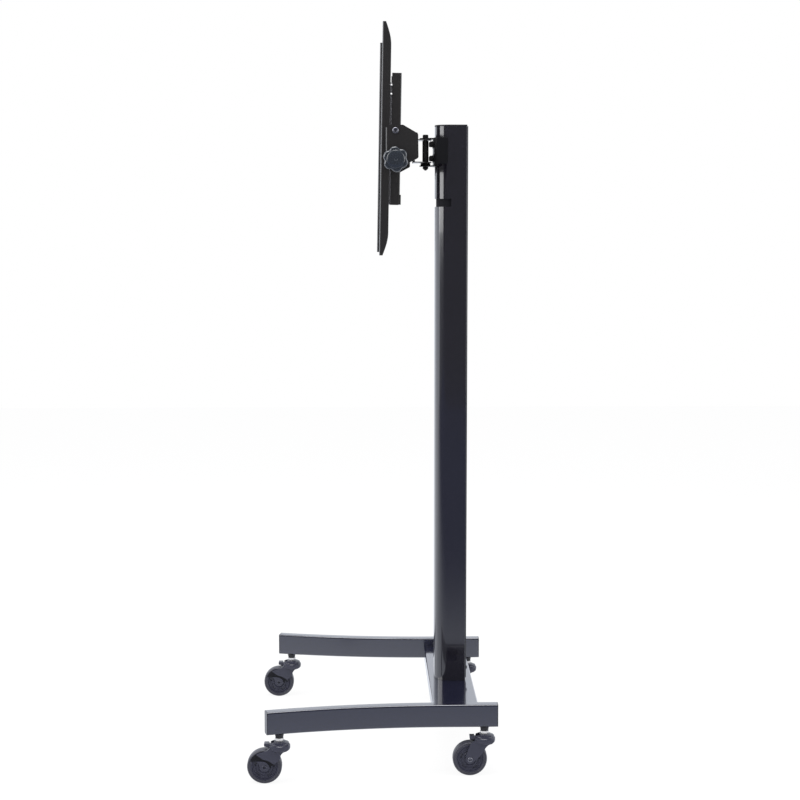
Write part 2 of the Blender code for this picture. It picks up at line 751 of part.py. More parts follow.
def make_column():
    foot_bottom = BASE_TOP_Z + GAP
    foot_top = foot_bottom + FOOT_HEIGHT
    foot = prism("foot", [column_outline(FOOT_INSET)], foot_bottom, foot_top, ALONG_Z)
    part("column_foot", foot.data, BLACK_STEEL)
    bottom = foot_top + GAP
    top = COLUMN_TOP_Z - COLUMN_CAP - GAP
    tube = prism(
        "tube", [column_outline(0.0), column_outline(COLUMN_WALL)], bottom, top, ALONG_Z
    )
    tube = changed(tube, "DIFFERENCE", bracket_bolt_holes() + foot_screw_holes())
    part("column", tube.data, COLUMN_PAINT)
    strip = rounded(
        [
            (STRIP_HALF_X, COLUMN_REAR_Y - STRIP_THICKNESS, 0.0),
            (STRIP_HALF_X, COLUMN_REAR_Y, STRIP_EDGE),
            (-STRIP_HALF_X, COLUMN_REAR_Y, STRIP_EDGE),
            (-STRIP_HALF_X, COLUMN_REAR_Y - STRIP_THICKNESS, 0.0),
        ],
        2,
    )
    cover = prism("strip", [strip], bottom, top, ALONG_Z)
    cover = changed(cover, "DIFFERENCE", foot_screw_holes())
    part("column_rear_cover", cover.data, BLACK_PLASTIC)
    lid = prism("lid", [column_outline(0.0)], COLUMN_TOP_Z - COLUMN_CAP, COLUMN_TOP_Z, ALONG_Z)
    lid = bevelled(lid, COLUMN_CAP_EDGE)
    plug = prism(
        "lid_plug",
        [column_outline(COLUMN_WALL + GAP)],
        top - COLUMN_CAP_PLUG,
        COLUMN_TOP_Z - COLUMN_CAP / 2,
        ALONG_Z,
    )
    lid = changed(lid, "UNION", [plug])
    part("column_cap", lid.data, BLACK_PLASTIC)


def make_foot_screws():
    head = COLUMN_REAR_Y + GAP + FOOT_SCREW_HEAD
    seat = COLUMN_REAR_Y + GAP
    profile = [
        (0.0, head),
        (FOOT_SCREW_HEAD_RADIUS * 0.7, head),
        (FOOT_SCREW_HEAD_RADIUS, seat + FOOT_SCREW_HEAD * 0.4),
        (FOOT_SCREW_HEAD_RADIUS, seat),
        (FOOT_SCREW_RADIUS, seat),
        (FOOT_SCREW_RADIUS, seat - FOOT_SCREW_LENGTH),
        (0.0, seat - FOOT_SCREW_LENGTH),
    ]
    outwards = Matrix(((1, 0, 0, 0), (0, 0, 1, 0), (0, -1, 0, 0), (0, 0, 0, 1)))
    screw = turned("foot_screw", profile, 12, outwards)
    for side, name in ((1, "right"), (-1, "left")):
        place = (side * FOOT_SCREW_X, 0.0, FOOT_SCREW_Z)
        part("column_foot_screw_" + name, screw.data.copy(), BLACK_STEEL, place=place)


def make_bracket():
    outer = GAP + BRACKET_SHEET
    half = COLUMN_HALF_X
    rear = COLUMN_FRONT_Y + BRACKET_WRAP
    saddle = rounded(
        [
            (-half - outer, rear, 0.0),
            (-half - outer, COLUMN_FRONT_Y - outer, BRACKET_BEND + BRACKET_SHEET),
            (half + outer, COLUMN_FRONT_Y - outer, BRACKET_BEND + BRACKET_SHEET),
            (half + outer, rear, 0.0),
            (half + GAP, rear, 0.0),
            (half + GAP, COLUMN_FRONT_Y - GAP, BRACKET_BEND),
            (-half - GAP, COLUMN_FRONT_Y - GAP, BRACKET_BEND),
            (-half - GAP, rear, 0.0),
        ],
        4,
    )
    bracket = prism("saddle", [saddle], BRACKET_BOTTOM_Z, BRACKET_TOP_Z, ALONG_Z)
    ear = rounded(
        [
            (-BRACKET_EAR_HALF_X, COLUMN_FRONT_Y - outer + BRACKET_SHEET / 2, 0.0),
            (-EAR_NOSE, PIN_Y - EAR_NOSE, EAR_NOSE * END_ARC),
            (EAR_NOSE, PIN_Y - EAR_NOSE, EAR_NOSE * END_ARC),
            (BRACKET_EAR_HALF_X, COLUMN_FRONT_Y - outer + BRACKET_SHEET / 2, 0.0),
        ],
        4,
    )
    low_ear = prism(
        "low_ear", [ear], BRACKET_BOTTOM_Z, BRACKET_BOTTOM_Z + BRACKET_SHEET, ALONG_Z
    )
    high_ear = prism("high_ear", [ear], BRACKET_TOP_Z - BRACKET_SHEET, BRACKET_TOP_Z, ALONG_Z)
    bracket = changed(bracket, "UNION", [low_ear, high_ear])
    bore = rod(
        "pin_hole",
        (0.0, PIN_Y),
        PIN_BORE,
        BRACKET_BOTTOM_Z - CUT_PAST,
        BRACKET_TOP_Z + CUT_PAST,
        ALONG_Z,
        16,
    )
    reach = half + outer + CUT_PAST
    side_cut = block(
        "bracket_side_cut",
        (-reach, COLUMN_FRONT_Y + BRACKET_BEND, BRACKET_BOTTOM_Z - CUT_PAST),
        (reach, rear + CUT_PAST, BRACKET_BOTTOM_Z + BRACKET_SIDE_RISE),
    )
    bracket = changed(bracket, "DIFFERENCE", [bore, side_cut] + bracket_bolt_holes())
    part("column_bracket", bracket.data, HEAD_PAINT)


def make_bracket_bolts():
    seat = COLUMN_FRONT_Y - GAP - BRACKET_SHEET - GAP
    tip = seat - BRACKET_BOLT_HEAD
    profile = [
        (0.0, -tip),
        (BRACKET_BOLT_HEAD_RADIUS - BRACKET_BOLT_CHAMFER, -tip),
        (BRACKET_BOLT_HEAD_RADIUS, -tip - BRACKET_BOLT_CHAMFER),
        (BRACKET_BOLT_HEAD_RADIUS, -seat + BRACKET_BOLT_FLANGE_TOP),
        (BRACKET_BOLT_FLANGE_RADIUS, -seat + BRACKET_BOLT_FLANGE),
        (BRACKET_BOLT_FLANGE_RADIUS, -seat),
        (BRACKET_BOLT_RADIUS, -seat),
        (BRACKET_BOLT_RADIUS, -seat - BRACKET_BOLT_LENGTH),
        (0.0, -seat - BRACKET_BOLT_LENGTH),
    ]
    bolt = turned("bracket_bolt", profile, 12, ALONG_Y)
    for side, name in ((1, "right"), (-1, "left")):
        for number, z in enumerate(BRACKET_BOLT_ZS, 1):
            place = (side * BRACKET_BOLT_X, 0.0, z)
            part(f"bracket_bolt_{name}_{number}", bolt.data.copy(), BLACK_STEEL, place=place)


def make_swivel_pin():
    head = rod(
        "pin_head",
        (0.0, 0.0),
        PIN_HEAD_RADIUS,
        BRACKET_TOP_Z + GAP,
        PIN_HEAD_TOP_Z,
        ALONG_Z,
        6,
    )
    shaft = rod(
        "pin_shaft", (0.0, 0.0), PIN_RADIUS, PIN_BOTTOM_Z, BRACKET_TOP_Z + CUT_SHORT, ALONG_Z, 20
    )
    pin = changed(head, "UNION", [shaft])
    part("swivel_pin", pin.data, BLACK_STEEL, place=(0.0, PIN_Y, 0.0))
    nut_top = BRACKET_BOTTOM_Z - GAP
    bore_bottom = PIN_BOTTOM_Z - GAP
    profile = [
        (0.0, bore_bottom),
        (PIN_BORE, bore_bottom),
        (PIN_BORE, nut_top),
        (NUT_RADIUS, nut_top),
        (NUT_RADIUS, NUT_SHOULDER_Z),
        (0.0, NUT_BOTTOM_Z),
    ]
    nut = turned("nut", profile, 18)
    part("swivel_nut", nut.data, BLACK_STEEL, place=(0.0, PIN_Y, 0.0))
    low = BRACKET_BOTTOM_Z + BRACKET_SHEET + GAP
    high = YOKE_EAR_BOTTOM_Z - GAP
    ring = [(PIN_BORE, high), (WASHER_RADIUS, high), (WASHER_RADIUS, low), (PIN_BORE, low)]
    washer = turned("washer", ring, 16, closed=True)
    part("swivel_washer", washer.data, BLACK_STEEL, place=(0.0, PIN_Y, 0.0))


def make_yoke(swivel):
    rear = YOKE_REAR_Y
    front = YOKE_FRONT_Y
    sheet = YOKE_SHEET
    channel = rounded(
        [
            (front, YOKE_BOTTOM_Z, 0.0),
            (rear, YOKE_BOTTOM_Z, YOKE_BEND),
            (rear, YOKE_TOP_Z, YOKE_BEND),
            (front, YOKE_TOP_Z, 0.0),
            (front, YOKE_TOP_Z - sheet, 0.0),
            (rear - sheet, YOKE_TOP_Z - sheet, YOKE_INNER_BEND),
            (rear - sheet, YOKE_BOTTOM_Z + sheet, YOKE_INNER_BEND),
            (front, YOKE_BOTTOM_Z + sheet, 0.0),
        ],
        3,
    )
    reach = PLATE_INNER_X - GAP
    yoke = prism("yoke_channel", [channel], -reach, reach, ALONG_X)
    pad = block(
        "yoke_pad",
        (-YOKE_EAR_HALF_X, rear - sheet / 2, YOKE_EAR_BOTTOM_Z),
        (YOKE_EAR_HALF_X, YOKE_PAD_REAR_Y, YOKE_EAR_TOP_Z),
    )
    ear = rounded(
        [
            (YOKE_EAR_HALF_X, YOKE_PAD_REAR_Y - sheet / 2, 0.0),
            (EAR_NOSE, PIN_Y + EAR_NOSE, EAR_NOSE * END_ARC),
            (-EAR_NOSE, PIN_Y + EAR_NOSE, EAR_NOSE * END_ARC),
            (-YOKE_EAR_HALF_X, YOKE_PAD_REAR_Y - sheet / 2, 0.0),
        ],
        4,
    )
    low_ear = prism(
        "yoke_low_ear", [ear], YOKE_EAR_BOTTOM_Z, YOKE_EAR_BOTTOM_Z + sheet, ALONG_Z
    )
    high_ear = prism("yoke_high_ear", [ear], YOKE_EAR_TOP_Z - sheet, YOKE_EAR_TOP_Z, ALONG_Z)
    yoke = changed(yoke, "UNION", [pad, low_ear, high_ear])
    bore = rod(
        "yoke_bore",
        (0.0, PIN_Y),
        PIN_BORE,
        YOKE_EAR_BOTTOM_Z - CUT_PAST,
        YOKE_EAR_TOP_Z + CUT_PAST,
        ALONG_Z,
        16,
    )
    yoke = changed(yoke, "DIFFERENCE", [bore])
    part("yoke", yoke.data, HEAD_PAINT, swivel, origin=(0.0, PIN_Y, 0.0))
    low = YOKE_EAR_BOTTOM_Z + sheet + GAP
    high = YOKE_EAR_TOP_Z - sheet - GAP
    ring = [(PIN_BORE, high), (BARREL_RADIUS, high), (BARREL_RADIUS, low), (PIN_BORE, low)]
    barrel = turned("barrel", ring, 18, closed=True)
    part("swivel_barrel", barrel.data, HEAD_PAINT, swivel)


def knob_slot():
    """The arc slot in an end plate that the knob's stud runs in as the head tilts."""
    radius = PIVOT_Z - KNOB_Z
    lean = math.atan2(KNOB_Y - PIVOT_Y, radius)
    first = lean + REST_TILT + TILT_MIN - STUD_SLOT_OVERRUN
    last = lean + REST_TILT + TILT_MAX + STUD_SLOT_OVERRUN
    outer = []
    inner = []
    for step in range(STUD_SLOT_STEPS + 1):
        angle = first + (last - first) * step / STUD_SLOT_STEPS
        for side, line in ((STUD_SLOT_RADIUS, outer), (-STUD_SLOT_RADIUS, inner)):
            reach = radius + side
            line.append(
                (PIVOT_Y + reach * math.sin(angle), PIVOT_Z - reach * math.cos(angle))
            )
    return outer + inner[::-1]


def make_end_plates(swivel):
    plate = prism("end_plate", [rounded(PLATE_CORNERS, 3)], PLATE_INNER_X, PLATE_OUTER_X, ALONG_X)
    lap_y = PLATE_FRONT_Y + PLATE_FLANGE_BEND + PLATE_FLANGE_LAP
    lip_x = PLATE_OUTER_X - PLATE_FLANGE_X
    flange = rounded(
        [
            (PLATE_OUTER_X, lap_y, 0.0),
            (PLATE_INNER_X, lap_y, 0.0),
            (PLATE_INNER_X, PLATE_FRONT_Y + PLATE_SHEET, PLATE_FLANGE_INNER_BEND),
            (lip_x, PLATE_FRONT_Y + PLATE_SHEET, 0.0),
            (lip_x, PLATE_FRONT_Y, 0.0),
            (PLATE_OUTER_X, PLATE_FRONT_Y, PLATE_FLANGE_BEND - PLATE_FLANGE_EASE),
        ],
        4,
    )
    lip = prism("end_flange", [flange], PLATE_FLANGE_BOTTOM_Z, PLATE_FLANGE_TOP_Z, ALONG_Z)
    plate = changed(plate, "UNION", [lip])
    low = PLATE_INNER_X - CUT_SHORT
    high = PLATE_OUTER_X + CUT_SHORT
    hole = rod(
        "pivot_hole",
        (PIVOT_Y, PIVOT_Z),
        PIVOT_BOLT_RADIUS + BOLT_CLEARANCE,
        low,
        high,
        ALONG_X,
        16,
    )
    slot = prism("stud_slot", [knob_slot()], low, high, ALONG_X)
    plate = changed(plate, "DIFFERENCE", [hole, slot])
    right = plate.data.copy()
    left = mirrored(plate.data)
    part("end_plate_right", right, HEAD_PAINT, swivel, origin=(0.0, PIN_Y, 0.0))
    part("end_plate_left", left, HEAD_PAINT, swivel, origin=(0.0, PIN_Y, 0.0))


def make_pivot_bolts(swivel):
    seat = PLATE_OUTER_X + GAP
    tip = seat + PIVOT_BOLT_HEAD
    profile = [
        (0.0, tip - PIVOT_BOLT_SOCKET),
        (PIVOT_BOLT_SOCKET_RADIUS, tip - PIVOT_BOLT_SOCKET),
        (PIVOT_BOLT_SOCKET_RADIUS, tip),
        (PIVOT_BOLT_HEAD_RADIUS - PIVOT_BOLT_EASE, tip),
        (PIVOT_BOLT_HEAD_RADIUS, tip - PIVOT_BOLT_EASE),
        (PIVOT_BOLT_HEAD_RADIUS, seat),
        (PIVOT_BOLT_RADIUS, seat),
        (PIVOT_BOLT_RADIUS, seat - PIVOT_BOLT_LENGTH),
        (0.0, seat - PIVOT_BOLT_LENGTH),
    ]
    bolt = turned("pivot_bolt", profile, 14, ALONG_X)
    place = (0.0, PIVOT_Y - PIN_Y, PIVOT_Z)
    part("pivot_bolt_right", bolt.data.copy(), ZINC, swivel, place)
    part("pivot_bolt_left", mirrored(bolt.data), ZINC, swivel, place)


def make_knobs(tilt):
    seat = PLATE_OUTER_X + GAP
    lobes = []
    for step in range(KNOB_GRIP_STEPS):
        angle = math.tau * step / KNOB_GRIP_STEPS
        turn = KNOB_LOBES * (angle - KNOB_LOBE_PHASE)
        radius = KNOB_MEAN_RADIUS + KNOB_LOBE_HEIGHT * math.cos(turn)
        radius -= KNOB_LOBE_BREADTH * math.cos(2.0 * turn)
        lobes.append((radius * math.cos(angle), radius * math.sin(angle)))
    grip_low = seat + KNOB_HUB
    grip_high = grip_low + KNOB_GRIP
    grip = prism("grip", [lobes], grip_low, grip_high, ALONG_X)
    grip = bevelled(grip, KNOB_GRIP_EDGE)
    profile = [
        (0.0, grip_high + KNOB_CROWN),
        (KNOB_CROWN_RADIUS - KNOB_CROWN_SLOPE, grip_high + KNOB_CROWN),
        (KNOB_CROWN_RADIUS, grip_high - KNOB_CROWN_SINK),
        (KNOB_HUB_RADIUS, grip_low + KNOB_CROWN_SINK),
        (KNOB_HUB_RADIUS, seat),
        (STUD_RADIUS, seat),
        (STUD_RADIUS, seat - STUD_LENGTH),
        (0.0, seat - STUD_LENGTH),
    ]
    core = turned("knob_core", profile, 20, ALONG_X)
    knob = changed(grip, "UNION", [core])
    place = (0.0, KNOB_Y - PIVOT_Y, KNOB_Z - PIVOT_Z)
    part("tilt_knob_right", knob.data.copy(), KNOB_PLASTIC, tilt, place)
    part("tilt_knob_left", mirrored(knob.data), KNOB_PLASTIC, tilt, place)


def make_tilt_beam(tilt):
    sheet = BEAM_SHEET
    channel = rounded(
        [
            (BEAM_FRONT_Y, BEAM_BOTTOM_Z, BEAM_BEND),
            (BEAM_REAR_Y, BEAM_BOTTOM_Z, 0.0),
            (BEAM_REAR_Y, BEAM_BOTTOM_Z + sheet, 0.0),
            (BEAM_FRONT_Y + sheet, BEAM_BOTTOM_Z + sheet, BEAM_INNER_BEND),
            (BEAM_FRONT_Y + sheet, BEAM_TOP_Z - sheet, BEAM_INNER_BEND),
            (BEAM_REAR_Y, BEAM_TOP_Z - sheet, 0.0),
            (BEAM_REAR_Y, BEAM_TOP_Z, 0.0),
            (BEAM_FRONT_Y, BEAM_TOP_Z, BEAM_BEND),
        ],
        3,
    )
    beam = prism("beam_channel", [channel], -BEAM_HALF_X, BEAM_HALF_X, ALONG_X)
    ends = []
    holes = []
    for side in (-1, 1):
        outer = BEAM_HALF_X - BEAM_END_INSET
        low, high = sorted((side * outer, side * (outer - sheet)))
        ends.append(
            block(
                "beam_end",
                (low, BEAM_FRONT_Y + sheet / 2, BEAM_BOTTOM_Z + sheet / 2),
                (high, BEAM_REAR_Y - BEAM_END_INSET, BEAM_TOP_Z - sheet / 2),
            )
        )
        low -= CUT_SHORT
        high += CUT_SHORT
        pivot_radius = PIVOT_BOLT_RADIUS + BOLT_CLEARANCE
        holes.append(rod("beam_pivot", (PIVOT_Y, PIVOT_Z), pivot_radius, low, high, ALONG_X, 16))
        stud_radius = STUD_RADIUS + BOLT_CLEARANCE
        holes.append(rod("beam_stud", (KNOB_Y, KNOB_Z), stud_radius, low, high, ALONG_X, 12))
    beam = changed(beam, "UNION", ends)
    notch_x = INTERFACE_HALF_X + BEAM_NOTCH_PLAY
    notch = block(
        "beam_notch",
        (-notch_x, BEAM_FRONT_Y + sheet - BEAM_RELIEF, BEAM_BOTTOM_Z - CUT_PAST),
        (notch_x, BEAM_REAR_Y + CUT_PAST, BEAM_TOP_Z + CUT_PAST),
    )
    beam = changed(beam, "DIFFERENCE", holes + [notch])
    part("tilt_beam", beam.data, HEAD_PAINT, tilt, origin=(0.0, PIVOT_Y, PIVOT_Z))


def make_spine(tilt):
    pivot = (0.0, PIVOT_Y, PIVOT_Z)
    plate_front = BEAM_FRONT_Y + BEAM_SHEET + GAP
    plate_rear = plate_front + INTERFACE_SHEET
    outline = rounded(
        [
            (INTERFACE_HALF_X, SPINE_BOTTOM_Z, INTERFACE_CORNER),
            (INTERFACE_HALF_X, INTERFACE_TOP_Z, INTERFACE_CORNER),
            (-INTERFACE_HALF_X, INTERFACE_TOP_Z, INTERFACE_CORNER),
            (-INTERFACE_HALF_X, SPINE_BOTTOM_Z, INTERFACE_CORNER),
        ],
        3,
    )
    plate = prism("interface", [outline], plate_front, plate_rear, ALONG_Y)
    heads = []
    for side in (-1, 1):
        seat = side * (INTERFACE_HALF_X - GAP)
        low, high = sorted((seat, seat + side * INTERFACE_SCREW_HEAD))
        for z in INTERFACE_SCREW_ZS:
            centre = (plate_rear - INTERFACE_SCREW_INSET, z)
            heads.append(
                rod("interface_screw", centre, INTERFACE_SCREW_RADIUS, low, high, ALONG_X, 10)
            )
    plate = changed(plate, "UNION", heads)
    part("interface_plate", plate.data, HEAD_PAINT, tilt, origin=pivot)
    front = plate_rear + GAP
    sheet = SPINE_SHEET
    channel = rounded(
        [
            (SPINE_HALF_X, SPINE_REAR_Y, SPINE_BEND),
            (-SPINE_HALF_X, SPINE_REAR_Y, SPINE_BEND),
            (-SPINE_HALF_X, front, 0.0),
            (-SPINE_HALF_X + sheet, front, 0.0),
            (-SPINE_HALF_X + sheet, SPINE_REAR_Y - sheet, SPINE_INNER_BEND),
            (SPINE_HALF_X - sheet, SPINE_REAR_Y - sheet, SPINE_INNER_BEND),
            (SPINE_HALF_X - sheet, front, 0.0),
            (SPINE_HALF_X, front, 0.0),
        ],
        3,
    )
    spine = prism("spine_channel", [channel], SPINE_BOTTOM_Z, SPINE_TOP_Z, ALONG_Z)
    foot = block(
        "spine_foot",
        (-SPINE_HALF_X, SPINE_REAR_Y - sheet / 2, SPINE_BOTTOM_Z),
        (SPINE_HALF_X, SPINE_REAR_Y + SPINE_FOOT_DEPTH, SPINE_BOTTOM_Z + SPINE_FOOT_HEIGHT),
    )
    spine = changed(spine, "UNION", [foot])
    part("spine", spine.data, HEAD_PAINT, tilt, origin=pivot)


def rail_side_outline():
    """A rail seen from the side: full depth, curving in towards each end at its rear."""
    outline = [(RAIL_FRONT_Y, RAIL_TOP_Z), (RAIL_FRONT_Y, RAIL_BOTTOM_Z)]
    depth = RAIL_REAR_Y - RAIL_FRONT_Y
    curve = []
    for step in range(RAIL_END_STEPS + 1):
        share = step / RAIL_END_STEPS
        reach = RAIL_END_DEPTH + (depth - RAIL_END_DEPTH) * math.sin(share * math.pi / 2.0)
        curve.append((RAIL_FRONT_Y + reach, share * RAIL_END_CURVE))
    outline += [(y, RAIL_BOTTOM_Z + along) for y, along in curve]
    outline += [(y, RAIL_TOP_Z - along) for y, along in reversed(curve)]
    return outline


def rail_slot_middles():
    reach = RAIL_SLOT_END + RAIL_SLOT_LENGTH / 2
    return RAIL_BOTTOM_Z + reach, RAIL_TOP_Z - reach


def make_rails(tilt):
    pivot = (0.0, PIVOT_Y, PIVOT_Z)
    half = RAIL_HALF_X
    sheet = RAIL_SHEET
    rear = RAIL_REAR_Y + CUT_SHORT
    section_outline = rounded(
        [
            (RAIL_X - half, RAIL_FRONT_Y, RAIL_BEND),
            (RAIL_X + half, RAIL_FRONT_Y, RAIL_BEND),
            (RAIL_X + half, rear, 0.0),
            (RAIL_X + half - sheet, rear, 0.0),
            (RAIL_X + half - sheet, RAIL_FRONT_Y + sheet, RAIL_BEND - sheet),
            (RAIL_X - half + sheet, RAIL_FRONT_Y + sheet, RAIL_BEND - sheet),
            (RAIL_X - half + sheet, rear, 0.0),
            (RAIL_X - half, rear, 0.0),
        ],
        3,
    )
    low = RAIL_BOTTOM_Z - CUT_SHORT
    high = RAIL_TOP_Z + CUT_SHORT
    rail = prism("rail_section", [section_outline], low, high, ALONG_Z)
    low = RAIL_X - half - CUT_SHORT
    high = RAIL_X + half + CUT_SHORT
    profile = prism("rail_side", [rail_side_outline()], low, high, ALONG_X)
    rail = changed(rail, "INTERSECT", [profile])
    slots = []
    low = RAIL_FRONT_Y - CUT_SHORT
    high = RAIL_FRONT_Y + sheet + CUT_SHORT
    reach = RAIL_SLOT_LENGTH / 2
    radius = RAIL_SLOT_RADIUS
    for middle in rail_slot_middles():
        outline = rounded(
            [
                (RAIL_X + radius, middle - reach, radius * END_ARC),
                (RAIL_X + radius, middle + reach, radius * END_ARC),
                (RAIL_X - radius, middle + reach, radius * END_ARC),
                (RAIL_X - radius, middle - reach, radius * END_ARC),
            ],
            3,
        )
        slots.append(prism("rail_slot", [outline], low, high, ALONG_Y))
    rail = changed(rail, "DIFFERENCE", slots)
    right = rail.data.copy()
    left = mirrored(rail.data)
    part("rail_right", right, HEAD_PAINT, tilt, origin=pivot)
    part("rail_left", left, HEAD_PAINT, tilt, origin=pivot)


def make_rail_clamps(tilt):
    """A clamp stands in the rail's channel and hooks over the beam at its top and bottom."""
    pivot = (0.0, PIVOT_Y, PIVOT_Z)
    front = RAIL_FRONT_Y + RAIL_SHEET + GAP
    bottom = BEAM_BOTTOM_Z - GAP
    top = BEAM_TOP_Z + GAP
    face = BEAM_FRONT_Y - GAP
    lip = BEAM_FRONT_Y + CLAMP_LIP
    sheet = CLAMP_SHEET
    outline = [
        (front, bottom - sheet),
        (lip, bottom - sheet),
        (lip, bottom),
        (face, bottom),
        (face, bottom + CLAMP_FOOT),
        (front + sheet, bottom + CLAMP_FOOT),
        (front + sheet, top - CLAMP_FOOT),
        (face, top - CLAMP_FOOT),
        (face, top),
        (lip, top),
        (lip, top + sheet),
        (front, top + sheet),
    ]
    clamp = prism("clamp", [outline], RAIL_X - CLAMP_HALF_X, RAIL_X + CLAMP_HALF_X, ALONG_X)
    right = clamp.data.copy()
    left = mirrored(clamp.data)
    part("rail_clamp_right", right, BLACK_STEEL, tilt, origin=pivot)
    part("rail_clamp_left", left, BLACK_STEEL, tilt, origin=pivot)


def stem_mesh():
    leg_wall_top = LEG_BOTTOM_Z + LEG_WALL
    nut_bottom = leg_wall_top + GAP
    nut_top = nut_bottom + STEM_NUT_HEIGHT
    seat = LEG_BOTTOM_Z - GAP
    profile = [
        (0.0, LEG_BOTTOM_Z + STEM_LENGTH_IN_LEG),
        (KINGPIN_RADIUS, LEG_BOTTOM_Z + STEM_LENGTH_IN_LEG),
        (KINGPIN_RADIUS, nut_top),
        (STEM_NUT_RADIUS, nut_top),
        (STEM_NUT_RADIUS, nut_bottom),
        (KINGPIN_RADIUS, nut_bottom),
        (KINGPIN_RADIUS, seat),
        (STEM_COLLAR_RADIUS, seat),
        (STEM_COLLAR_FOOT_RADIUS, STEM_COLLAR_Z),
        (STEM_WASHER_RADIUS, STEM_WASHER_TOP_Z),
        (STEM_WASHER_RADIUS, STEM_WASHER_Z),
        (KINGPIN_RADIUS, HEAD_TOP_Z + GAP),
        (KINGPIN_RADIUS, KINGPIN_BOTTOM_Z),
        (0.0, KINGPIN_BOTTOM_Z),
    ]
    return turned("stem", profile, 14).data


def boss_arc(first, last, steps=5):
    """The fork's rounded end round the axle, as (y, z) points."""
    points = []
    for step in range(steps + 1):
        angle = math.radians(first + (last - first) * step / steps)
        y = -CASTER_TRAIL + BOSS_RADIUS * math.cos(angle)
        z = WHEEL_RADIUS + BOSS_RADIUS * math.sin(angle)
        points.append((y, z))
    return points


def narrow_fork_outline():
    """The rear casters' fork plate, tapering to the axle."""
    behind = [
        (0.0190, 0.0800),
        (0.0170, 0.0735),
        (0.0085, 0.0700),
        (0.0020, 0.0640),
        (-0.0010, 0.0580),
        (-0.0070, 0.0490),
        (-0.0160, 0.0395),
    ]
    ahead = [
        (-0.0395, 0.0500),
        (-0.0350, 0.0630),
        (-0.0300, 0.0740),
        (-0.0200, 0.0800),
    ]
    return behind + boss_arc(-30.0, -190.0) + ahead


def wide_fork_outline():
    """The front casters' fork plate, which covers the wheel's upper half."""
    behind = [
        (0.0190, 0.0800),
        (0.0170, 0.0735),
        (0.0085, 0.0700),
        (0.0045, 0.0630),
        (0.0045, 0.0500),
        (-0.0010, 0.0445),
        (-0.0090, 0.0450),
        (-0.0160, 0.0410),
    ]
    ahead = [
        (-0.0460, 0.0420),
        (-0.0540, 0.0455),
        (-0.0620, 0.0435),
        (-0.0690, 0.0455),
        (-0.0680, 0.0560),
        (-0.0620, 0.0660),
        (-0.0520, 0.0735),
        (-0.0380, 0.0775),
        (-0.0200, 0.0800),
    ]
    return behind + boss_arc(-30.0, -190.0) + ahead


def fork_mesh(plate_outline):
    head_profile = [
        (KINGPIN_BORE, HEAD_TOP_Z),
        (HEAD_FLAT_RADIUS, HEAD_TOP_Z),
        (HEAD_SHOULDER_RADIUS, HEAD_TOP_Z - HEAD_SHOULDER_DROP),
        (HEAD_RADIUS, HEAD_TOP_Z - HEAD_RIM_DROP),
        (HEAD_RADIUS, HEAD_BOTTOM_Z + HEAD_SKIRT),
        (HEAD_SHOULDER_RADIUS, HEAD_BOTTOM_Z),
        (KINGPIN_BORE, HEAD_BOTTOM_Z),
    ]
    head = turned("fork_head", head_profile, 20, closed=True)
    plates = []
    for low in (-FORK_OUTER_X, FORK_INNER_X):
        plates.append(prism("fork_plate", [plate_outline], low, low + FORK_PLATE, ALONG_X))
    fork = changed(head, "UNION", plates)
    axle_centre = (-CASTER_TRAIL, WHEEL_RADIUS)
    room = rod(
        "wheel_room",
        axle_centre,
        WHEEL_ROOM_RADIUS,
        -FORK_INNER_X,
        FORK_INNER_X,
        ALONG_X,
        24,
    )
    reach = FORK_OUTER_X + CUT_PAST
    axle_hole = rod("axle_hole", axle_centre, AXLE_BORE, -reach, reach, ALONG_X, 12)
    slot_half = BRAKE_HALF_WIDTH + BRAKE_PLAY
    slot = block(
        "brake_slot",
        (-slot_half, BRAKE_SLOT_YS[0], BRAKE_SLOT_ZS[0]),
        (slot_half, BRAKE_SLOT_YS[1], BRAKE_SLOT_ZS[1]),
    )
    pin_hole = rod(
        "brake_pin_hole",
        (BRAKE_PIN_Y, BRAKE_PIN_Z),
        BRAKE_PIN_RADIUS + GAP,
        -BRAKE_PIN_HALF - BRAKE_PLAY,
        BRAKE_PIN_HALF + BRAKE_PLAY,
        ALONG_X,
        8,
    )
    return changed(fork, "DIFFERENCE", [room, axle_hole, slot, pin_hole]).data


def wheel_mesh():
    """A wheel about its own axle, along X."""
    rim = WHEEL_RADIUS / math.cos(math.pi / WHEEL_FACETS)
    half = [
        (AXLE_BORE, HUB_HALF_WIDTH),
        (HUB_RADIUS, HUB_HALF_WIDTH),
        (HUB_RADIUS + WEB_SLOPE, WEB_HALF_WIDTH),
        (RIM_INNER_RADIUS - WEB_SLOPE, WEB_HALF_WIDTH),
        (RIM_INNER_RADIUS, WHEEL_HALF_WIDTH),
        (rim - TREAD_DROP, WHEEL_HALF_WIDTH),
        (rim, WHEEL_HALF_WIDTH - TREAD_SHOULDER),
    ]
    profile = half + [(radius, -x) for radius, x in reversed(half)]
    start = math.pi / WHEEL_FACETS
    return turned("wheel", profile, WHEEL_FACETS, ALONG_X, closed=True, start=start).data


def axle_mesh():
    seat = FORK_OUTER_X + GAP
    tip = seat + AXLE_HEAD_DEPTH
    half = [
        (0.0, tip - AXLE_DIMPLE),
        (AXLE_DIMPLE_RADIUS, tip - AXLE_DIMPLE),
        (AXLE_DIMPLE_RADIUS, tip),
        (AXLE_HEAD_RADIUS - AXLE_HEAD_EASE, tip),
        (AXLE_HEAD_RADIUS, seat),
        (AXLE_RADIUS, seat),
    ]
    profile = half + [(radius, -x) for radius, x in reversed(half)]
    return turned("axle", profile, 12, ALONG_X).data


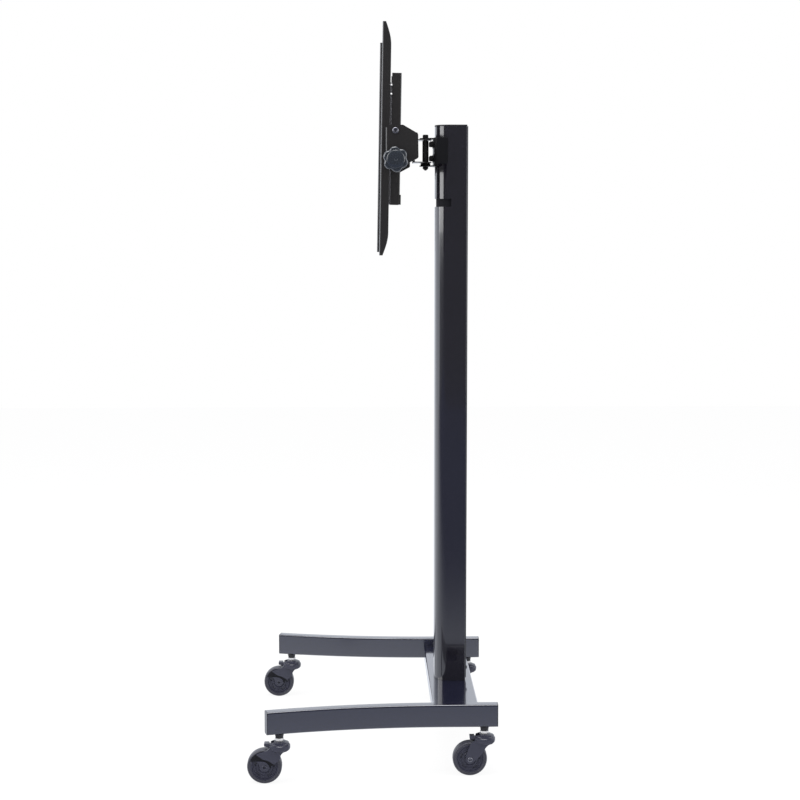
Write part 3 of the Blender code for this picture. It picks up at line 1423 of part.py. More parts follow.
def brake_mesh():
    """A brake pedal about its own hinge pin, along X."""
    hinge_y = BRAKE_PIN_Y + BRAKE_HINGE_RADIUS
    outline = [
        (hinge_y, BRAKE_TOP_Z),
        (hinge_y, BRAKE_BOTTOM_Z),
        (BRAKE_KNEE_Y, BRAKE_BOTTOM_Z),
        (BRAKE_TIP_Y, BRAKE_TIP_Z),
        (BRAKE_TIP_Y, BRAKE_TAB_Z - BRAKE_TAB_EASE),
        (BRAKE_TIP_Y + BRAKE_TAB_EASE, BRAKE_TAB_Z),
        (BRAKE_TAB_Y - BRAKE_TAB_EASE, BRAKE_TAB_Z),
        (BRAKE_TAB_Y, BRAKE_TOP_Z),
    ]
    pedal = prism("pedal", [outline], -BRAKE_HALF_WIDTH, BRAKE_HALF_WIDTH, ALONG_X)
    pin = rod(
        "brake_pin",
        (BRAKE_PIN_Y, BRAKE_PIN_Z),
        BRAKE_PIN_RADIUS,
        -BRAKE_PIN_HALF,
        BRAKE_PIN_HALF,
        ALONG_X,
        8,
    )
    return changed(pedal, "UNION", [pin]).data


def make_casters():
    """Four casters, each on an empty at its stem, trailing towards the screen side."""
    stem = stem_mesh()
    wheel = wheel_mesh()
    axle = axle_mesh()
    brake = brake_mesh()
    brake.transform(Matrix.Translation((0.0, -BRAKE_PIN_Y, -BRAKE_PIN_Z)))
    wide = fork_mesh(wide_fork_outline())
    narrow = fork_mesh(narrow_fork_outline())
    corners = (
        ("front_right", 1, FRONT_STEM_Y, wide),
        ("front_left", -1, FRONT_STEM_Y, wide),
        ("rear_right", 1, REAR_STEM_Y, narrow),
        ("rear_left", -1, REAR_STEM_Y, narrow),
    )
    axle_place = (0.0, -CASTER_TRAIL, WHEEL_RADIUS)
    brake_place = (0.0, BRAKE_PIN_Y, BRAKE_PIN_Z)
    for name, side, y, fork in corners:
        swivel = axis_empty("caster_axis_" + name, (side * leg_centre(y), y, 0.0))
        part("stem_" + name, stem, ZINC, swivel)
        part("fork_" + name, fork, CASTER_PLASTIC, swivel)
        part("wheel_" + name, wheel, TREAD, swivel, axle_place)
        part("axle_" + name, axle, ZINC, swivel, axle_place)
        part("brake_" + name, brake, CASTER_PLASTIC, swivel, brake_place)


def hide_outlines():
    """The cutters stay out of the parts' way in the viewport as well."""
    for obj in CUTTERS.objects:
        obj.hide_set(True)


make_legs()
make_leg_caps()
make_base_plate()
make_base_bolts()
make_column()
make_foot_screws()
make_bracket()
make_bracket_bolts()
make_swivel_pin()
swivel_axis = axis_empty("swivel_axis", (0.0, PIN_Y, 0.0))
make_yoke(swivel_axis)
make_end_plates(swivel_axis)
make_pivot_bolts(swivel_axis)
tilt_axis = axis_empty("tilt_axis", (0.0, PIVOT_Y - PIN_Y, PIVOT_Z), swivel_axis)
tilt_axis.rotation_euler = (REST_TILT, 0.0, 0.0)
make_knobs(tilt_axis)
make_tilt_beam(tilt_axis)
make_spine(tilt_axis)
make_rails(tilt_axis)
make_rail_clamps(tilt_axis)
make_casters()
hide_outlines()
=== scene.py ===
import json
import math

import bmesh
import bpy
from mathutils import Matrix, Vector

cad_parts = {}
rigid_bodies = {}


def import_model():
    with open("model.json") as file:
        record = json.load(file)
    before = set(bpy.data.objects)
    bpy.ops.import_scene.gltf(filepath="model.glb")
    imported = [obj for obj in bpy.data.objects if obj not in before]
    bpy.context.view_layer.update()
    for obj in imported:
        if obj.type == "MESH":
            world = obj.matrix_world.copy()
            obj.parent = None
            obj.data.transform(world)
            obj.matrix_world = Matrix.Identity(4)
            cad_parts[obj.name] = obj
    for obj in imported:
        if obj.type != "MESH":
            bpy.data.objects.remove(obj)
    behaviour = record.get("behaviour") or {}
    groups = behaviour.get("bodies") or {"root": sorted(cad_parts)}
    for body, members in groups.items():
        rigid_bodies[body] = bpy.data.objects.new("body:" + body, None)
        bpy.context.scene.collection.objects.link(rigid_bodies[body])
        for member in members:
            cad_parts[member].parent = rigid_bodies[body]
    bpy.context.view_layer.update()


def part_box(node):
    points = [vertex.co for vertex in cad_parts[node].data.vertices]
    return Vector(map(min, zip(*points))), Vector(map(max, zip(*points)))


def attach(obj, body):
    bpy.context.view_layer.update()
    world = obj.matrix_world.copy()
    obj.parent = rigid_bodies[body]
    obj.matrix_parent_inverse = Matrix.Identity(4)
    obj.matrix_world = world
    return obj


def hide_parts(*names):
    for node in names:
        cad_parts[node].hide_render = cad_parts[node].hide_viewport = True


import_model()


# Camera: it stands 3.8 m to the stand's right, at +X, a little below the head's height, and looks
# slightly down and slightly rearwards at the stand's side. The screen side faces -Y. All sizes are
# in metres.
CAMERA_PLACE = (3.8008, -0.0298, 1.1998)
CAMERA_DOWN = math.radians(6.10)
CAMERA_YAW = math.radians(1.44)
CAMERA_LENS = 74.41
CAMERA_SENSOR = 36.0
forward = Vector(
    (
        -math.cos(CAMERA_YAW) * math.cos(CAMERA_DOWN),
        math.sin(CAMERA_YAW) * math.cos(CAMERA_DOWN),
        -math.sin(CAMERA_DOWN),
    )
)
across = Vector((math.sin(CAMERA_YAW), math.cos(CAMERA_YAW), 0.0))
upward = across.cross(forward)
camera_data = bpy.data.cameras.new("camera")
camera_data.lens = CAMERA_LENS
camera_data.sensor_width = CAMERA_SENSOR
camera = bpy.data.objects.new("camera", camera_data)
turn = Matrix((across, upward, -forward)).transposed().to_4x4()
camera.matrix_world = Matrix.Translation(CAMERA_PLACE) @ turn
bpy.context.scene.collection.objects.link(camera)
bpy.context.scene.camera = camera
bpy.context.scene.view_settings.view_transform = "Standard"


# Studio: a white floor and a white surround behind the stand, dark beyond the camera, and soft
# lamps. The gloss mirrors the same room, so the floor darkens there from BACK_FLOOR to FAR_FLOOR.
class Socket:
    """A shader output that adds, subtracts and multiplies as a number does."""

    def __init__(self, shader, output):
        self.shader = shader
        self.output = output

    def maths(self, operation, first, second, clamp=False):
        return self.shader.node("ShaderNodeMath", operation=operation, use_clamp=clamp)(first, second)

    def __add__(self, other):
        return self.maths("ADD", self, other)

    def __radd__(self, other):
        return self.maths("ADD", other, self)

    def __sub__(self, other):
        return self.maths("SUBTRACT", self, other)

    def __rsub__(self, other):
        return self.maths("SUBTRACT", other, self)

    def __mul__(self, other):
        return self.maths("MULTIPLY", self, other)

    def __rmul__(self, other):
        return self.maths("MULTIPLY", other, self)

    def clamped(self):
        return self.maths("ADD", self, 0.0, clamp=True)


class Shader:
    """The node tree of one material or of the world."""

    EDGE_RANGE = (0.01, 0.12)

    def __init__(self, owner):
        owner.use_nodes = True
        self.tree = owner.node_tree
        self.tree.nodes.clear()

    def node(self, kind, **settings):
        """A new node. What this returns is called with the node's socket values."""
        made = self.tree.nodes.new(kind)
        for name, value in settings.items():
            setattr(made, name, value)

        def fill(*values, out=0, **named):
            pairs = list(enumerate(values)) + [(key.replace("_", " "), v) for key, v in named.items()]
            for key, value in pairs:
                if isinstance(value, Socket):
                    self.tree.links.new(value.output, made.inputs[key])
                else:
                    made.inputs[key].default_value = value
            return Socket(self, made.outputs[out]) if made.outputs else None

        return fill

    def place(self):
        """Object space, in metres."""
        return self.node("ShaderNodeTexCoord")(out="Object")

    def noise(self, scale, detail=3.0, stretch=(1.0, 1.0, 1.0)):
        """Noise from 0 to 1, with about as many features in a metre as the scale says."""
        spot = self.node("ShaderNodeMapping")(Vector=self.place(), Scale=stretch)
        return self.node("ShaderNodeTexNoise")(Vector=spot, Scale=scale, Detail=detail)

    def between(self, value, low, high):
        """0 below low and 1 above high, smooth between them."""
        return self.node("ShaderNodeMapRange", interpolation_type="SMOOTHSTEP")(
            Value=value, From_Min=low, From_Max=high
        )

    def mixed(self, share, first, second):
        """From the first colour to the second as share goes from 0 to 1."""
        mix = self.tree.nodes.new("ShaderNodeMix")
        mix.data_type = "RGBA"
        self.tree.links.new(share.output, mix.inputs["Factor"])
        for socket, colour in ((mix.inputs[6], first), (mix.inputs[7], second)):
            if isinstance(colour, Socket):
                self.tree.links.new(colour.output, socket)
            else:
                socket.default_value = (*colour, 1.0)
        return Socket(self, mix.outputs[2])

    def edges(self, width):
        """About 1 along a sharp outer edge, 0 on a flat face."""
        rounded_normal = self.node("ShaderNodeBevel", samples=4)(Radius=width)
        flat = self.node("ShaderNodeNewGeometry")(out="Normal")
        closeness = self.node("ShaderNodeVectorMath", operation="DOT_PRODUCT")(
            rounded_normal, flat, out="Value"
        )
        return self.between(1.0 - closeness, *self.EDGE_RANGE)

    def bump(self, height, distance):
        """A normal raised by a height from 0 to 1 times a distance."""
        return self.node("ShaderNodeBump")(Height=height, Distance=distance, Strength=1.0)

    def surface(self, **sockets):
        shader = self.node("ShaderNodeBsdfPrincipled")(**sockets)
        self.node("ShaderNodeOutputMaterial")(Surface=shader)


def new_shader(name):
    """A new material and the builder of its node tree."""
    material = bpy.data.materials.new(name)
    return material, Shader(material)


FLOOR_SIZE = 14.0
FLOOR_PAINT = (0.82, 0.82, 0.83, 1.0)
FLOOR_GLOW = 1.04
FLOOR_WHITE = 0.86
FLOOR_DARK = 0.185
BACK_FLOOR = -1.5
FAR_FLOOR = 2.3
WHITE = (1.0, 1.0, 1.0)
COOL_WHITE = (0.88, 0.92, 1.0)
COOL_DARK = (0.58, 0.66, 1.0)
floor_paint, paint = new_shader("studio_floor")
seen = paint.node("ShaderNodeLightPath")(out="Is Camera Ray")
mirrored = paint.node("ShaderNodeLightPath")(out="Is Glossy Ray")
spot = paint.node("ShaderNodeNewGeometry")(out="Position")
floor_x = paint.node("ShaderNodeSeparateXYZ")(spot, out="X")
lit = paint.node("ShaderNodeBsdfDiffuse")(Color=FLOOR_PAINT)
white = paint.node("ShaderNodeEmission")(
    Color=paint.mixed(mirrored, WHITE, COOL_WHITE), Strength=FLOOR_GLOW
)
dark = paint.node("ShaderNodeEmission")(Color=(*COOL_DARK, 1.0), Strength=FLOOR_DARK)
pale = paint.node("ShaderNodeMixShader")((seen + mirrored).clamped() * FLOOR_WHITE, lit, white)
far_share = mirrored * paint.between(floor_x, BACK_FLOOR, FAR_FLOOR)
paint.node("ShaderNodeOutputMaterial")(
    Surface=paint.node("ShaderNodeMixShader")(far_share, pale, dark)
)
bpy.ops.mesh.primitive_plane_add(size=FLOOR_SIZE)
floor = bpy.context.object
floor.name = "studio_floor"
floor.data.materials.append(floor_paint)

# The surround's strength: ROOM_LIGHT lights the stand, and the camera sees full white. The gloss sees
# white behind the stand, ROOM_BESIDE at its sides and ROOM_DARK round the camera. The two ranges are
# the direction's share towards the camera.
ROOM_LIGHT = 0.78
ROOM_BESIDE = 0.25
ROOM_DARK = 0.105
TURN_BESIDE = (0.02, 0.26)
TURN_TO_CAMERA = (0.26, 0.90)
world = bpy.data.worlds.new("studio")
bpy.context.scene.world = world
room = Shader(world)
room_seen = room.node("ShaderNodeLightPath")(out="Is Camera Ray")
room_mirrored = room.node("ShaderNodeLightPath")(out="Is Glossy Ray")
room_through = room.node("ShaderNodeLightPath")(out="Is Transmission Ray")
way = room.node("ShaderNodeTexCoord")(out="Generated")
way_x = room.node("ShaderNodeSeparateXYZ")(way, out="X")
beside = room.between(way_x, *TURN_BESIDE) * (1.0 - ROOM_BESIDE)
camera_side = room.between(way_x, *TURN_TO_CAMERA) * (ROOM_BESIDE - ROOM_DARK)
shown = (room_seen + room_mirrored + room_through).clamped()
strength = ROOM_LIGHT + shown * (1.0 - ROOM_LIGHT) - room_mirrored * (beside + camera_side)
surround = room.mixed(room_mirrored, WHITE, COOL_WHITE)
room.node("ShaderNodeOutputWorld")(
    Surface=room.node("ShaderNodeBackground")(Color=surround, Strength=strength)
)


def lamp(name, place, target, width, height, power):
    """A soft rectangular lamp aimed at a point."""
    light = bpy.data.lights.new(name, "AREA")
    light.shape = "RECTANGLE"
    light.size = width
    light.size_y = height
    light.energy = power
    obj = bpy.data.objects.new(name, light)
    obj.location = place
    aim = Vector(target) - Vector(place)
    obj.rotation_euler = aim.to_track_quat("-Z", "Y").to_euler()
    bpy.context.scene.collection.objects.link(obj)


COLUMN_MIDDLE = (0.0, 0.0, 0.8)
COLUMN_LOW = (0.0, 0.0, 0.6)
lamp("lamp_front", (1.3, -3.2, 2.5), COLUMN_MIDDLE, width=3.4, height=3.0, power=70.0)
lamp("lamp_rear", (1.2, 3.0, 1.8), COLUMN_MIDDLE, width=2.6, height=2.8, power=35.0)
lamp("lamp_top", (0.4, -0.2, 3.6), COLUMN_LOW, width=2.0, height=2.0, power=50.0)


# Legs: two rectangular steel tubes with rounded edges, bowed outwards towards the front, in a gloss
# blue-black powder coat. The inner side has holes for the base bolts, and the underside for the
# casters' stems.
ALONG_X = Matrix(((0, 0, 1, 0), (1, 0, 0, 0), (0, 1, 0, 0), (0, 0, 0, 1)))
ALONG_Y = Matrix(((1, 0, 0, 0), (0, 0, -1, 0), (0, 1, 0, 0), (0, 0, 0, 1)))
ALONG_Z = Matrix.Identity(4)
MIRROR = Matrix.Scale(-1.0, 4, (1.0, 0.0, 0.0))
WORKSHOP = bpy.data.collections.new("workshop")
bpy.context.scene.collection.children.link(WORKSHOP)


def working(name, data):
    """A working shape, which is gone before the scene is finished."""
    obj = bpy.data.objects.new(name, data)
    WORKSHOP.objects.link(obj)
    return obj


def evaluated_mesh(obj):
    """The object's mesh with its modifiers and its place worked in."""
    bpy.context.view_layer.update()
    graph = bpy.context.evaluated_depsgraph_get()
    mesh = bpy.data.meshes.new_from_object(obj.evaluated_get(graph))
    mesh.transform(obj.matrix_world)
    return mesh


def welded(mesh):
    """The mesh with its doubled corners joined and its faces turned outwards."""
    body = bmesh.new()
    body.from_mesh(mesh)
    bmesh.ops.remove_doubles(body, verts=body.verts, dist=1e-6)
    bmesh.ops.recalc_face_normals(body, faces=body.faces)
    body.to_mesh(mesh)
    body.free()
    return mesh


def rounded(corners, steps=6):
    """A closed outline from (a, b, radius) corners, each radius made an arc."""
    outline = []
    for index, (a, b, radius) in enumerate(corners):
        here = Vector((a, b))
        if radius <= 0.0:
            outline.append((a, b))
            continue
        before = (Vector(corners[index - 1][:2]) - here).normalized()
        after = (Vector(corners[(index + 1) % len(corners)][:2]) - here).normalized()
        half = before.angle(after) / 2.0
        centre_point = here + (before + after).normalized() * (radius / math.sin(half))
        start = here + before * (radius / math.tan(half)) - centre_point
        end = here + after * (radius / math.tan(half)) - centre_point
        sweep = start.angle_signed(end)
        for step in range(steps + 1):
            point = centre_point + Matrix.Rotation(-sweep * step / steps, 2) @ start
            outline.append((point.x, point.y))
    return outline


def section(width, height, corner, steps=5):
    """A tube's rounded rectangle about its own middle."""
    a, b = width / 2.0, height / 2.0
    return rounded([(a, -b, corner), (a, b, corner), (-a, b, corner), (-a, -b, corner)], steps)


def spline_into(curve, outline):
    """Adds a closed outline to a curve."""
    spline = curve.splines.new("POLY")
    spline.points.add(len(outline) - 1)
    for point, (a, b) in zip(spline.points, outline):
        point.co = (a, b, 0.0, 1.0)
    spline.use_cyclic_u = True


def swept(path, outline):
    """A closed section carried along a level path."""
    profile_curve = bpy.data.curves.new("section", "CURVE")
    profile_curve.dimensions = "2D"
    spline_into(profile_curve, outline)
    profile = working("section", profile_curve)
    curve = bpy.data.curves.new("path", "CURVE")
    curve.dimensions = "3D"
    curve.twist_mode = "Z_UP"
    curve.bevel_mode = "OBJECT"
    curve.bevel_object = profile
    curve.use_fill_caps = True
    spline = curve.splines.new("POLY")
    spline.points.add(len(path) - 1)
    for point, (x, y, z) in zip(spline.points, path):
        point.co = (x, y, z, 1.0)
    line = working("path", curve)
    mesh = welded(evaluated_mesh(line))
    bpy.data.objects.remove(line, do_unlink=True)
    bpy.data.objects.remove(profile, do_unlink=True)
    return working("swept", mesh)


def rod(centre, radius, low, high, axes, steps=32):
    """A cylinder, or with 6 steps a hexagon, along one axis."""
    body = bmesh.new()
    bmesh.ops.create_cone(
        body, cap_ends=True, segments=steps, radius1=radius, radius2=radius, depth=high - low
    )
    mesh = bpy.data.meshes.new("rod")
    body.to_mesh(mesh)
    body.free()
    middle = (low + high) / 2.0
    if axes is ALONG_Y:
        middle = -middle
    mesh.transform(axes @ Matrix.Translation((centre[0], centre[1], middle)))
    return working("rod", mesh)


def changed(obj, operation, *others):
    """The object with others added to it, cut from it, or kept in common with it."""
    for other in others:
        modifier = obj.modifiers.new("boolean", "BOOLEAN")
        modifier.operation = operation
        modifier.solver = "EXACT"
        modifier.object = other
    mesh = evaluated_mesh(obj)
    obj.modifiers.clear()
    obj.data = mesh
    obj.matrix_world = Matrix.Identity(4)
    return obj


def moved(mesh, *steps):
    """A copy of the mesh, carried through each matrix in turn."""
    copy = mesh.copy()
    for step in steps:
        copy.transform(step)
        if step.determinant() < 0.0:
            copy.flip_normals()
    return copy


def middle_of(node):
    """The centre of a CAD node's box."""
    low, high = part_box(node)
    return (Vector(low) + Vector(high)) / 2.0


def piece(name, mesh, material, body, nodes=(), slot=None, edge=0.0, segments=2, limit=40.0):
    """A finished piece that rides on a body and stands for CAD nodes."""
    obj = bpy.data.objects.new(name, mesh)
    bpy.context.scene.collection.objects.link(obj)
    mesh.materials.clear()
    mesh.materials.append(material)
    if edge > 0.0:
        bevel = obj.modifiers.new("edge", "BEVEL")
        bevel.width = edge
        bevel.segments = segments
        bevel.limit_method = "ANGLE"
        bevel.angle_limit = math.radians(limit)
        obj.data = evaluated_mesh(obj)
        obj.modifiers.clear()
        mesh = obj.data
    mesh.polygons.foreach_set("use_smooth", [True] * len(mesh.polygons))
    mesh.set_sharp_from_angle(angle=math.radians(limit))
    normals = obj.modifiers.new("normals", "WEIGHTED_NORMAL")
    normals.keep_sharp = True
    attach(obj, body)
    if nodes:
        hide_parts(*nodes)


def shade(colour, share):
    """The colour made darker or lighter by a share."""
    return tuple(min(1.0, part * share) for part in colour)


def pair(name, mesh, steps, material, body, node, slot, **edges):
    """A right-hand piece and its mirror image. The side's name goes into each pair of braces."""
    for side, turnover in (("right", Matrix.Identity(4)), ("left", MIRROR)):
        nodes = [node.format(side)] if node else ()
        shape = moved(mesh, *steps, turnover)
        piece(name.format(side), shape, material, body.format(side), nodes, slot, **edges)


# Powder coat: cured paint with a faint orange peel, paler along its sharp edges: rubbed wear on most
# parts, and on the interface plate a painted highlight line.
COAT_DRIFT = 5.0
COAT_TONES = (0.90, 1.12)
COAT_EDGE_WEAR_AND_HIGHLIGHT = 0.0010


def coat(name, colour, edge_wear_and_highlight, roughness, peel, grain, edge_wear_and_highlight_share, clear, clear_roughness, ior=1.5):
    """A powder coat that varies a little in tone, under a clear gloss."""
    material, shader = new_shader(name)
    drift = shader.noise(COAT_DRIFT, 2.0)
    fine = shader.noise(grain, 2.0)
    # The edge mask paints edges paler: wear at small shares, a painted highlight at the interface
    # plate's full share.
    edge = shader.edges(COAT_EDGE_WEAR_AND_HIGHLIGHT) * edge_wear_and_highlight_share
    tone = shader.mixed(drift, *(shade(colour, share) for share in COAT_TONES))
    tone = shader.mixed(edge, tone, edge_wear_and_highlight)
    shader.surface(
        Base_Color=tone, Roughness=roughness + drift * 0.05 + edge * 0.08, IOR=ior,
        Coat_Weight=clear, Coat_Roughness=clear_roughness, Normal=shader.bump(fine, peel),
    )
    return material


LEG_COAT = coat(
    "leg_coat", colour=(0.007, 0.008, 0.025), edge_wear_and_highlight=(0.12, 0.12, 0.16),
    roughness=0.14, peel=0.00002, grain=700.0, edge_wear_and_highlight_share=0.20, clear=1.0, clear_roughness=0.03, ior=2.05,
)
GAP = 0.0003
CLEAR = 0.01
BOLT_HOLE = 0.0044
STEM_HOLE = 0.0056
LEG_WIDTH = 0.025
LEG_WALL = 0.002
LEG_CORNER = 0.004
LEG_BEND_Y = 0.157
CAP_FLANGE = 0.0015
LEG_STEPS = 48
LEG_FRONT_Y = -0.2311
LEG_BOW = 0.0486
leg_low, leg_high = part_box("leg_right")
LEG_HEIGHT = leg_high[2] - leg_low[2]
LEG_MIDDLE_Z = (leg_high[2] + leg_low[2]) / 2.0
LEG_REAR_X = middle_of("leg_cap_rear_right").x
LEG_REAR_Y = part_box("leg_cap_rear_right")[1][1]
leg_reach = LEG_BEND_Y - LEG_FRONT_Y
LEG_RADIUS = (leg_reach**2 + LEG_BOW**2) / (2.0 * LEG_BOW)
LEG_TURN = math.asin(leg_reach / LEG_RADIUS)
LEG_FACE = CAP_FLANGE + GAP


def leg_path(extra):
    """Centre line of the right tube, drawn out by extra at both ends."""
    z = LEG_MIDDLE_Z
    points = [(LEG_REAR_X, LEG_REAR_Y - LEG_FACE + extra, z), (LEG_REAR_X, LEG_BEND_Y, z)]
    last = LEG_TURN - LEG_FACE / LEG_RADIUS
    for step in range(1, LEG_STEPS + 1):
        angle = last * step / LEG_STEPS
        x = LEG_REAR_X + LEG_RADIUS * (1.0 - math.cos(angle))
        y = LEG_BEND_Y - LEG_RADIUS * math.sin(angle)
        points.append((x, y, z))
    if extra > 0.0:
        points.append((x + extra * math.sin(last), y - extra * math.cos(last), z))
    return points


tube = swept(leg_path(0.0), section(LEG_WIDTH, LEG_HEIGHT, LEG_CORNER))
bore = swept(
    leg_path(CLEAR),
    section(LEG_WIDTH - 2 * LEG_WALL, LEG_HEIGHT - 2 * LEG_WALL, LEG_CORNER - LEG_WALL),
)
leg_holes = [bore]
for number in (1, 2):
    spot = middle_of(f"base_bolt_right_{number}")
    leg_holes.append(rod((spot.y, spot.z), BOLT_HOLE, LEG_REAR_X - LEG_WIDTH, LEG_REAR_X, ALONG_X))
for corner in ("front_right", "rear_right"):
    spot = middle_of("stem_" + corner)
    wall_top = leg_low[2] + LEG_WALL * 1.5
    leg_holes.append(rod((spot.x, spot.y), STEM_HOLE, leg_low[2] - CLEAR, wall_top, ALONG_Z))
tube = changed(tube, "DIFFERENCE", *leg_holes)
pair("leg_tube_{}", tube.data, (), LEG_COAT, "stand", "leg_{}", "leg_paint", limit=28.0)


# Leg caps: black moulded inserts at both ends of each tube, a flat face with eased edges and a plug
# that is pressed into the tube.
PLASTIC_DRIFT = 40.0
PLASTIC_TONES = (0.88, 1.15)
PLASTIC_HIGHLIGHT_EDGE = 0.0008


def plastic(name, colour, roughness, grain, depth, ior=1.5):
    """A moulded plastic or rubber with a fine grain, and a painted highlight along its sharp edges."""
    material, shader = new_shader(name)
    drift = shader.noise(PLASTIC_DRIFT, 3.0)
    fine = shader.noise(grain, 3.0)
    edge = shader.edges(PLASTIC_HIGHLIGHT_EDGE)
    tone = shader.mixed(drift, *(shade(colour, share) for share in PLASTIC_TONES))
    # Sharp edges painted lighter, toward three times the colour at a quarter share: a painted highlight.
    tone = shader.mixed(edge * 0.25, tone, shade(colour, 3.0))
    shader.surface(
        Base_Color=tone, Roughness=roughness + drift * 0.08, IOR=ior,
        Normal=shader.bump(fine, depth),
    )
    return material


def prism(outlines, low, high, axes):
    """Flat outlines, the first the outer one, made solid from low to high along the third axis."""
    curve = bpy.data.curves.new("outline", "CURVE")
    curve.dimensions = "2D"
    curve.fill_mode = "BOTH"
    curve.extrude = (high - low) / 2.0
    for outline in outlines:
        spline_into(curve, outline)
    flat = working("outline", curve)
    middle = (low + high) / 2.0
    if axes is ALONG_Y:
        middle = -middle
    flat.matrix_world = axes @ Matrix.Translation((0.0, 0.0, middle))
    mesh = welded(evaluated_mesh(flat))
    bpy.data.objects.remove(flat, do_unlink=True)
    return working("prism", mesh)


CAP_PLASTIC = plastic(
    "cap_plastic", (0.016, 0.017, 0.024), roughness=0.10, grain=1800.0, depth=0.00001, ior=1.8
)
SIDES = (("right", 1.0), ("left", -1.0))
CAP_PLUG = 0.012
cap_face = prism([section(LEG_WIDTH, LEG_HEIGHT, LEG_CORNER)], GAP, GAP + CAP_FLANGE, ALONG_Y)
shrink = 2.0 * (LEG_WALL + GAP)
plug_outline = section(LEG_WIDTH - shrink, LEG_HEIGHT - shrink, LEG_CORNER - LEG_WALL)
cap_plug = prism([plug_outline], -CAP_PLUG, GAP + CAP_FLANGE / 2.0, ALONG_Y)
cap = changed(cap_face, "UNION", cap_plug)
cap_turn = LEG_TURN - LEG_FACE / LEG_RADIUS
front_end = (
    LEG_REAR_X + LEG_RADIUS * (1.0 - math.cos(cap_turn)),
    LEG_BEND_Y - LEG_RADIUS * math.sin(cap_turn),
)
for side, sign in SIDES:
    to_rear = Matrix.Translation((sign * LEG_REAR_X, LEG_REAR_Y - LEG_FACE, LEG_MIDDLE_Z))
    mesh = moved(cap.data, to_rear)
    piece(
        "cap_rear_" + side, mesh, CAP_PLASTIC, "stand",
        ["leg_cap_rear_" + side], "black_plastic", edge=0.0006, segments=3,
    )
    swing = Matrix.Rotation(math.pi + sign * cap_turn, 4, "Z")
    to_front = Matrix.Translation((sign * front_end[0], front_end[1], LEG_MIDDLE_Z))
    mesh = moved(cap.data, swing, to_front)
    piece(
        "cap_front_" + side, mesh, CAP_PLASTIC, "stand",
        ["leg_cap_front_" + side], "black_plastic", edge=0.0006, segments=3,
    )


# Cross plate: one pressed steel tray between the legs in the legs' coat, folded down at front and
# rear and up at its ends, with two bolts through each end tab into the leg.
def channel(sides, tip, web, sheet, bend, inner_bend, steps=6):
    """A folded channel's section: two sides that run from their tips to a web."""
    low, high = sides
    inside = web + math.copysign(sheet, tip - web)
    corners = [
        (low, tip, 0.0), (low, web, bend), (high, web, bend), (high, tip, 0.0),
        (high - sheet, tip, 0.0), (high - sheet, inside, inner_bend),
        (low + sheet, inside, inner_bend), (low + sheet, tip, 0.0),
    ]
    return rounded(corners, steps)


SHEET = 0.003
BASE_TAB_RISE = 0.0155
TAB_INSET = 0.002
base_low, base_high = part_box("base_plate")
BASE_TOP_Z = base_high[2] - BASE_TAB_RISE
tray_outline = channel(
    (base_low[1], base_high[1]), base_low[2], BASE_TOP_Z, SHEET, bend=0.004, inner_bend=0.001
)
tray = prism([tray_outline], base_low[0], base_high[0], ALONG_X)
tab_corners = [
    (base_low[1] + TAB_INSET, BASE_TOP_Z - SHEET / 2, 0.0),
    (base_high[1] - TAB_INSET, BASE_TOP_Z - SHEET / 2, 0.0),
    (base_high[1] - TAB_INSET, base_high[2], 0.004),
    (base_low[1] + TAB_INSET, base_high[2], 0.004),
]
tabs = []
for side, sign in SIDES:
    low, high = sorted((sign * base_high[0], sign * (base_high[0] - SHEET)))
    tabs.append(prism([rounded(tab_corners)], low, high, ALONG_X))
tray = changed(tray, "UNION", *tabs)
tray_holes = []
for side, sign in SIDES:
    low, high = sorted((sign * (base_high[0] - 2.0 * SHEET), sign * (base_high[0] + SHEET)))
    for number in (1, 2):
        spot = middle_of(f"base_bolt_{side}_{number}")
        tray_holes.append(rod((spot.y, spot.z), BOLT_HOLE, low, high, ALONG_X))
tray = changed(tray, "DIFFERENCE", *tray_holes)
piece("cross_plate", tray.data, LEG_COAT, "stand", ["base_plate"], "leg_paint", edge=0.0005)


# Base bolts: black plated hexagon bolts, their heads against the end tabs and their shanks through
# the tabs into the legs.
PLATE_BRUSHING = 260.0
PLATE_PATCHES = 90.0
PLATE_TONES = (0.85, 1.1)
PLATE_DEPTH = 0.00004


def plated(name, colour, roughness, metallic):
    """Brushed steel under a plating that has dulled in patches."""
    material, shader = new_shader(name)
    brushed = shader.noise(PLATE_BRUSHING, 4.0, stretch=(1.0, 1.0, 12.0))
    dull = shader.noise(PLATE_PATCHES, 3.0)
    tone = shader.mixed(dull, *(shade(colour, share) for share in PLATE_TONES))
    shader.surface(
        Base_Color=tone, Metallic=metallic, Roughness=roughness + dull * 0.12,
        Normal=shader.bump(brushed, PLATE_DEPTH),
    )
    return material


def turned(profile, steps=48, axes=ALONG_Z, closed=False):
    """A turned shape: the (radius, height) profile runs down its outer side."""
    body = bmesh.new()
    points = [body.verts.new((radius, 0.0, height)) for radius, height in profile]
    ends = points[1:] + points[:1] if closed else points[1:]
    for first, second in zip(points, ends):
        body.edges.new((first, second))
    mesh = bpy.data.meshes.new("turned")
    body.to_mesh(mesh)
    body.free()
    obj = working("turned", mesh)
    obj.matrix_world = axes
    screw = obj.modifiers.new("turn", "SCREW")
    screw.steps = steps
    screw.render_steps = steps
    screw.use_merge_vertices = True
    screw.merge_threshold = 1e-5
    done = welded(evaluated_mesh(obj))
    bpy.data.objects.remove(obj, do_unlink=True)
    return working("turned", done)


COLLAR_SHEET = 0.0012


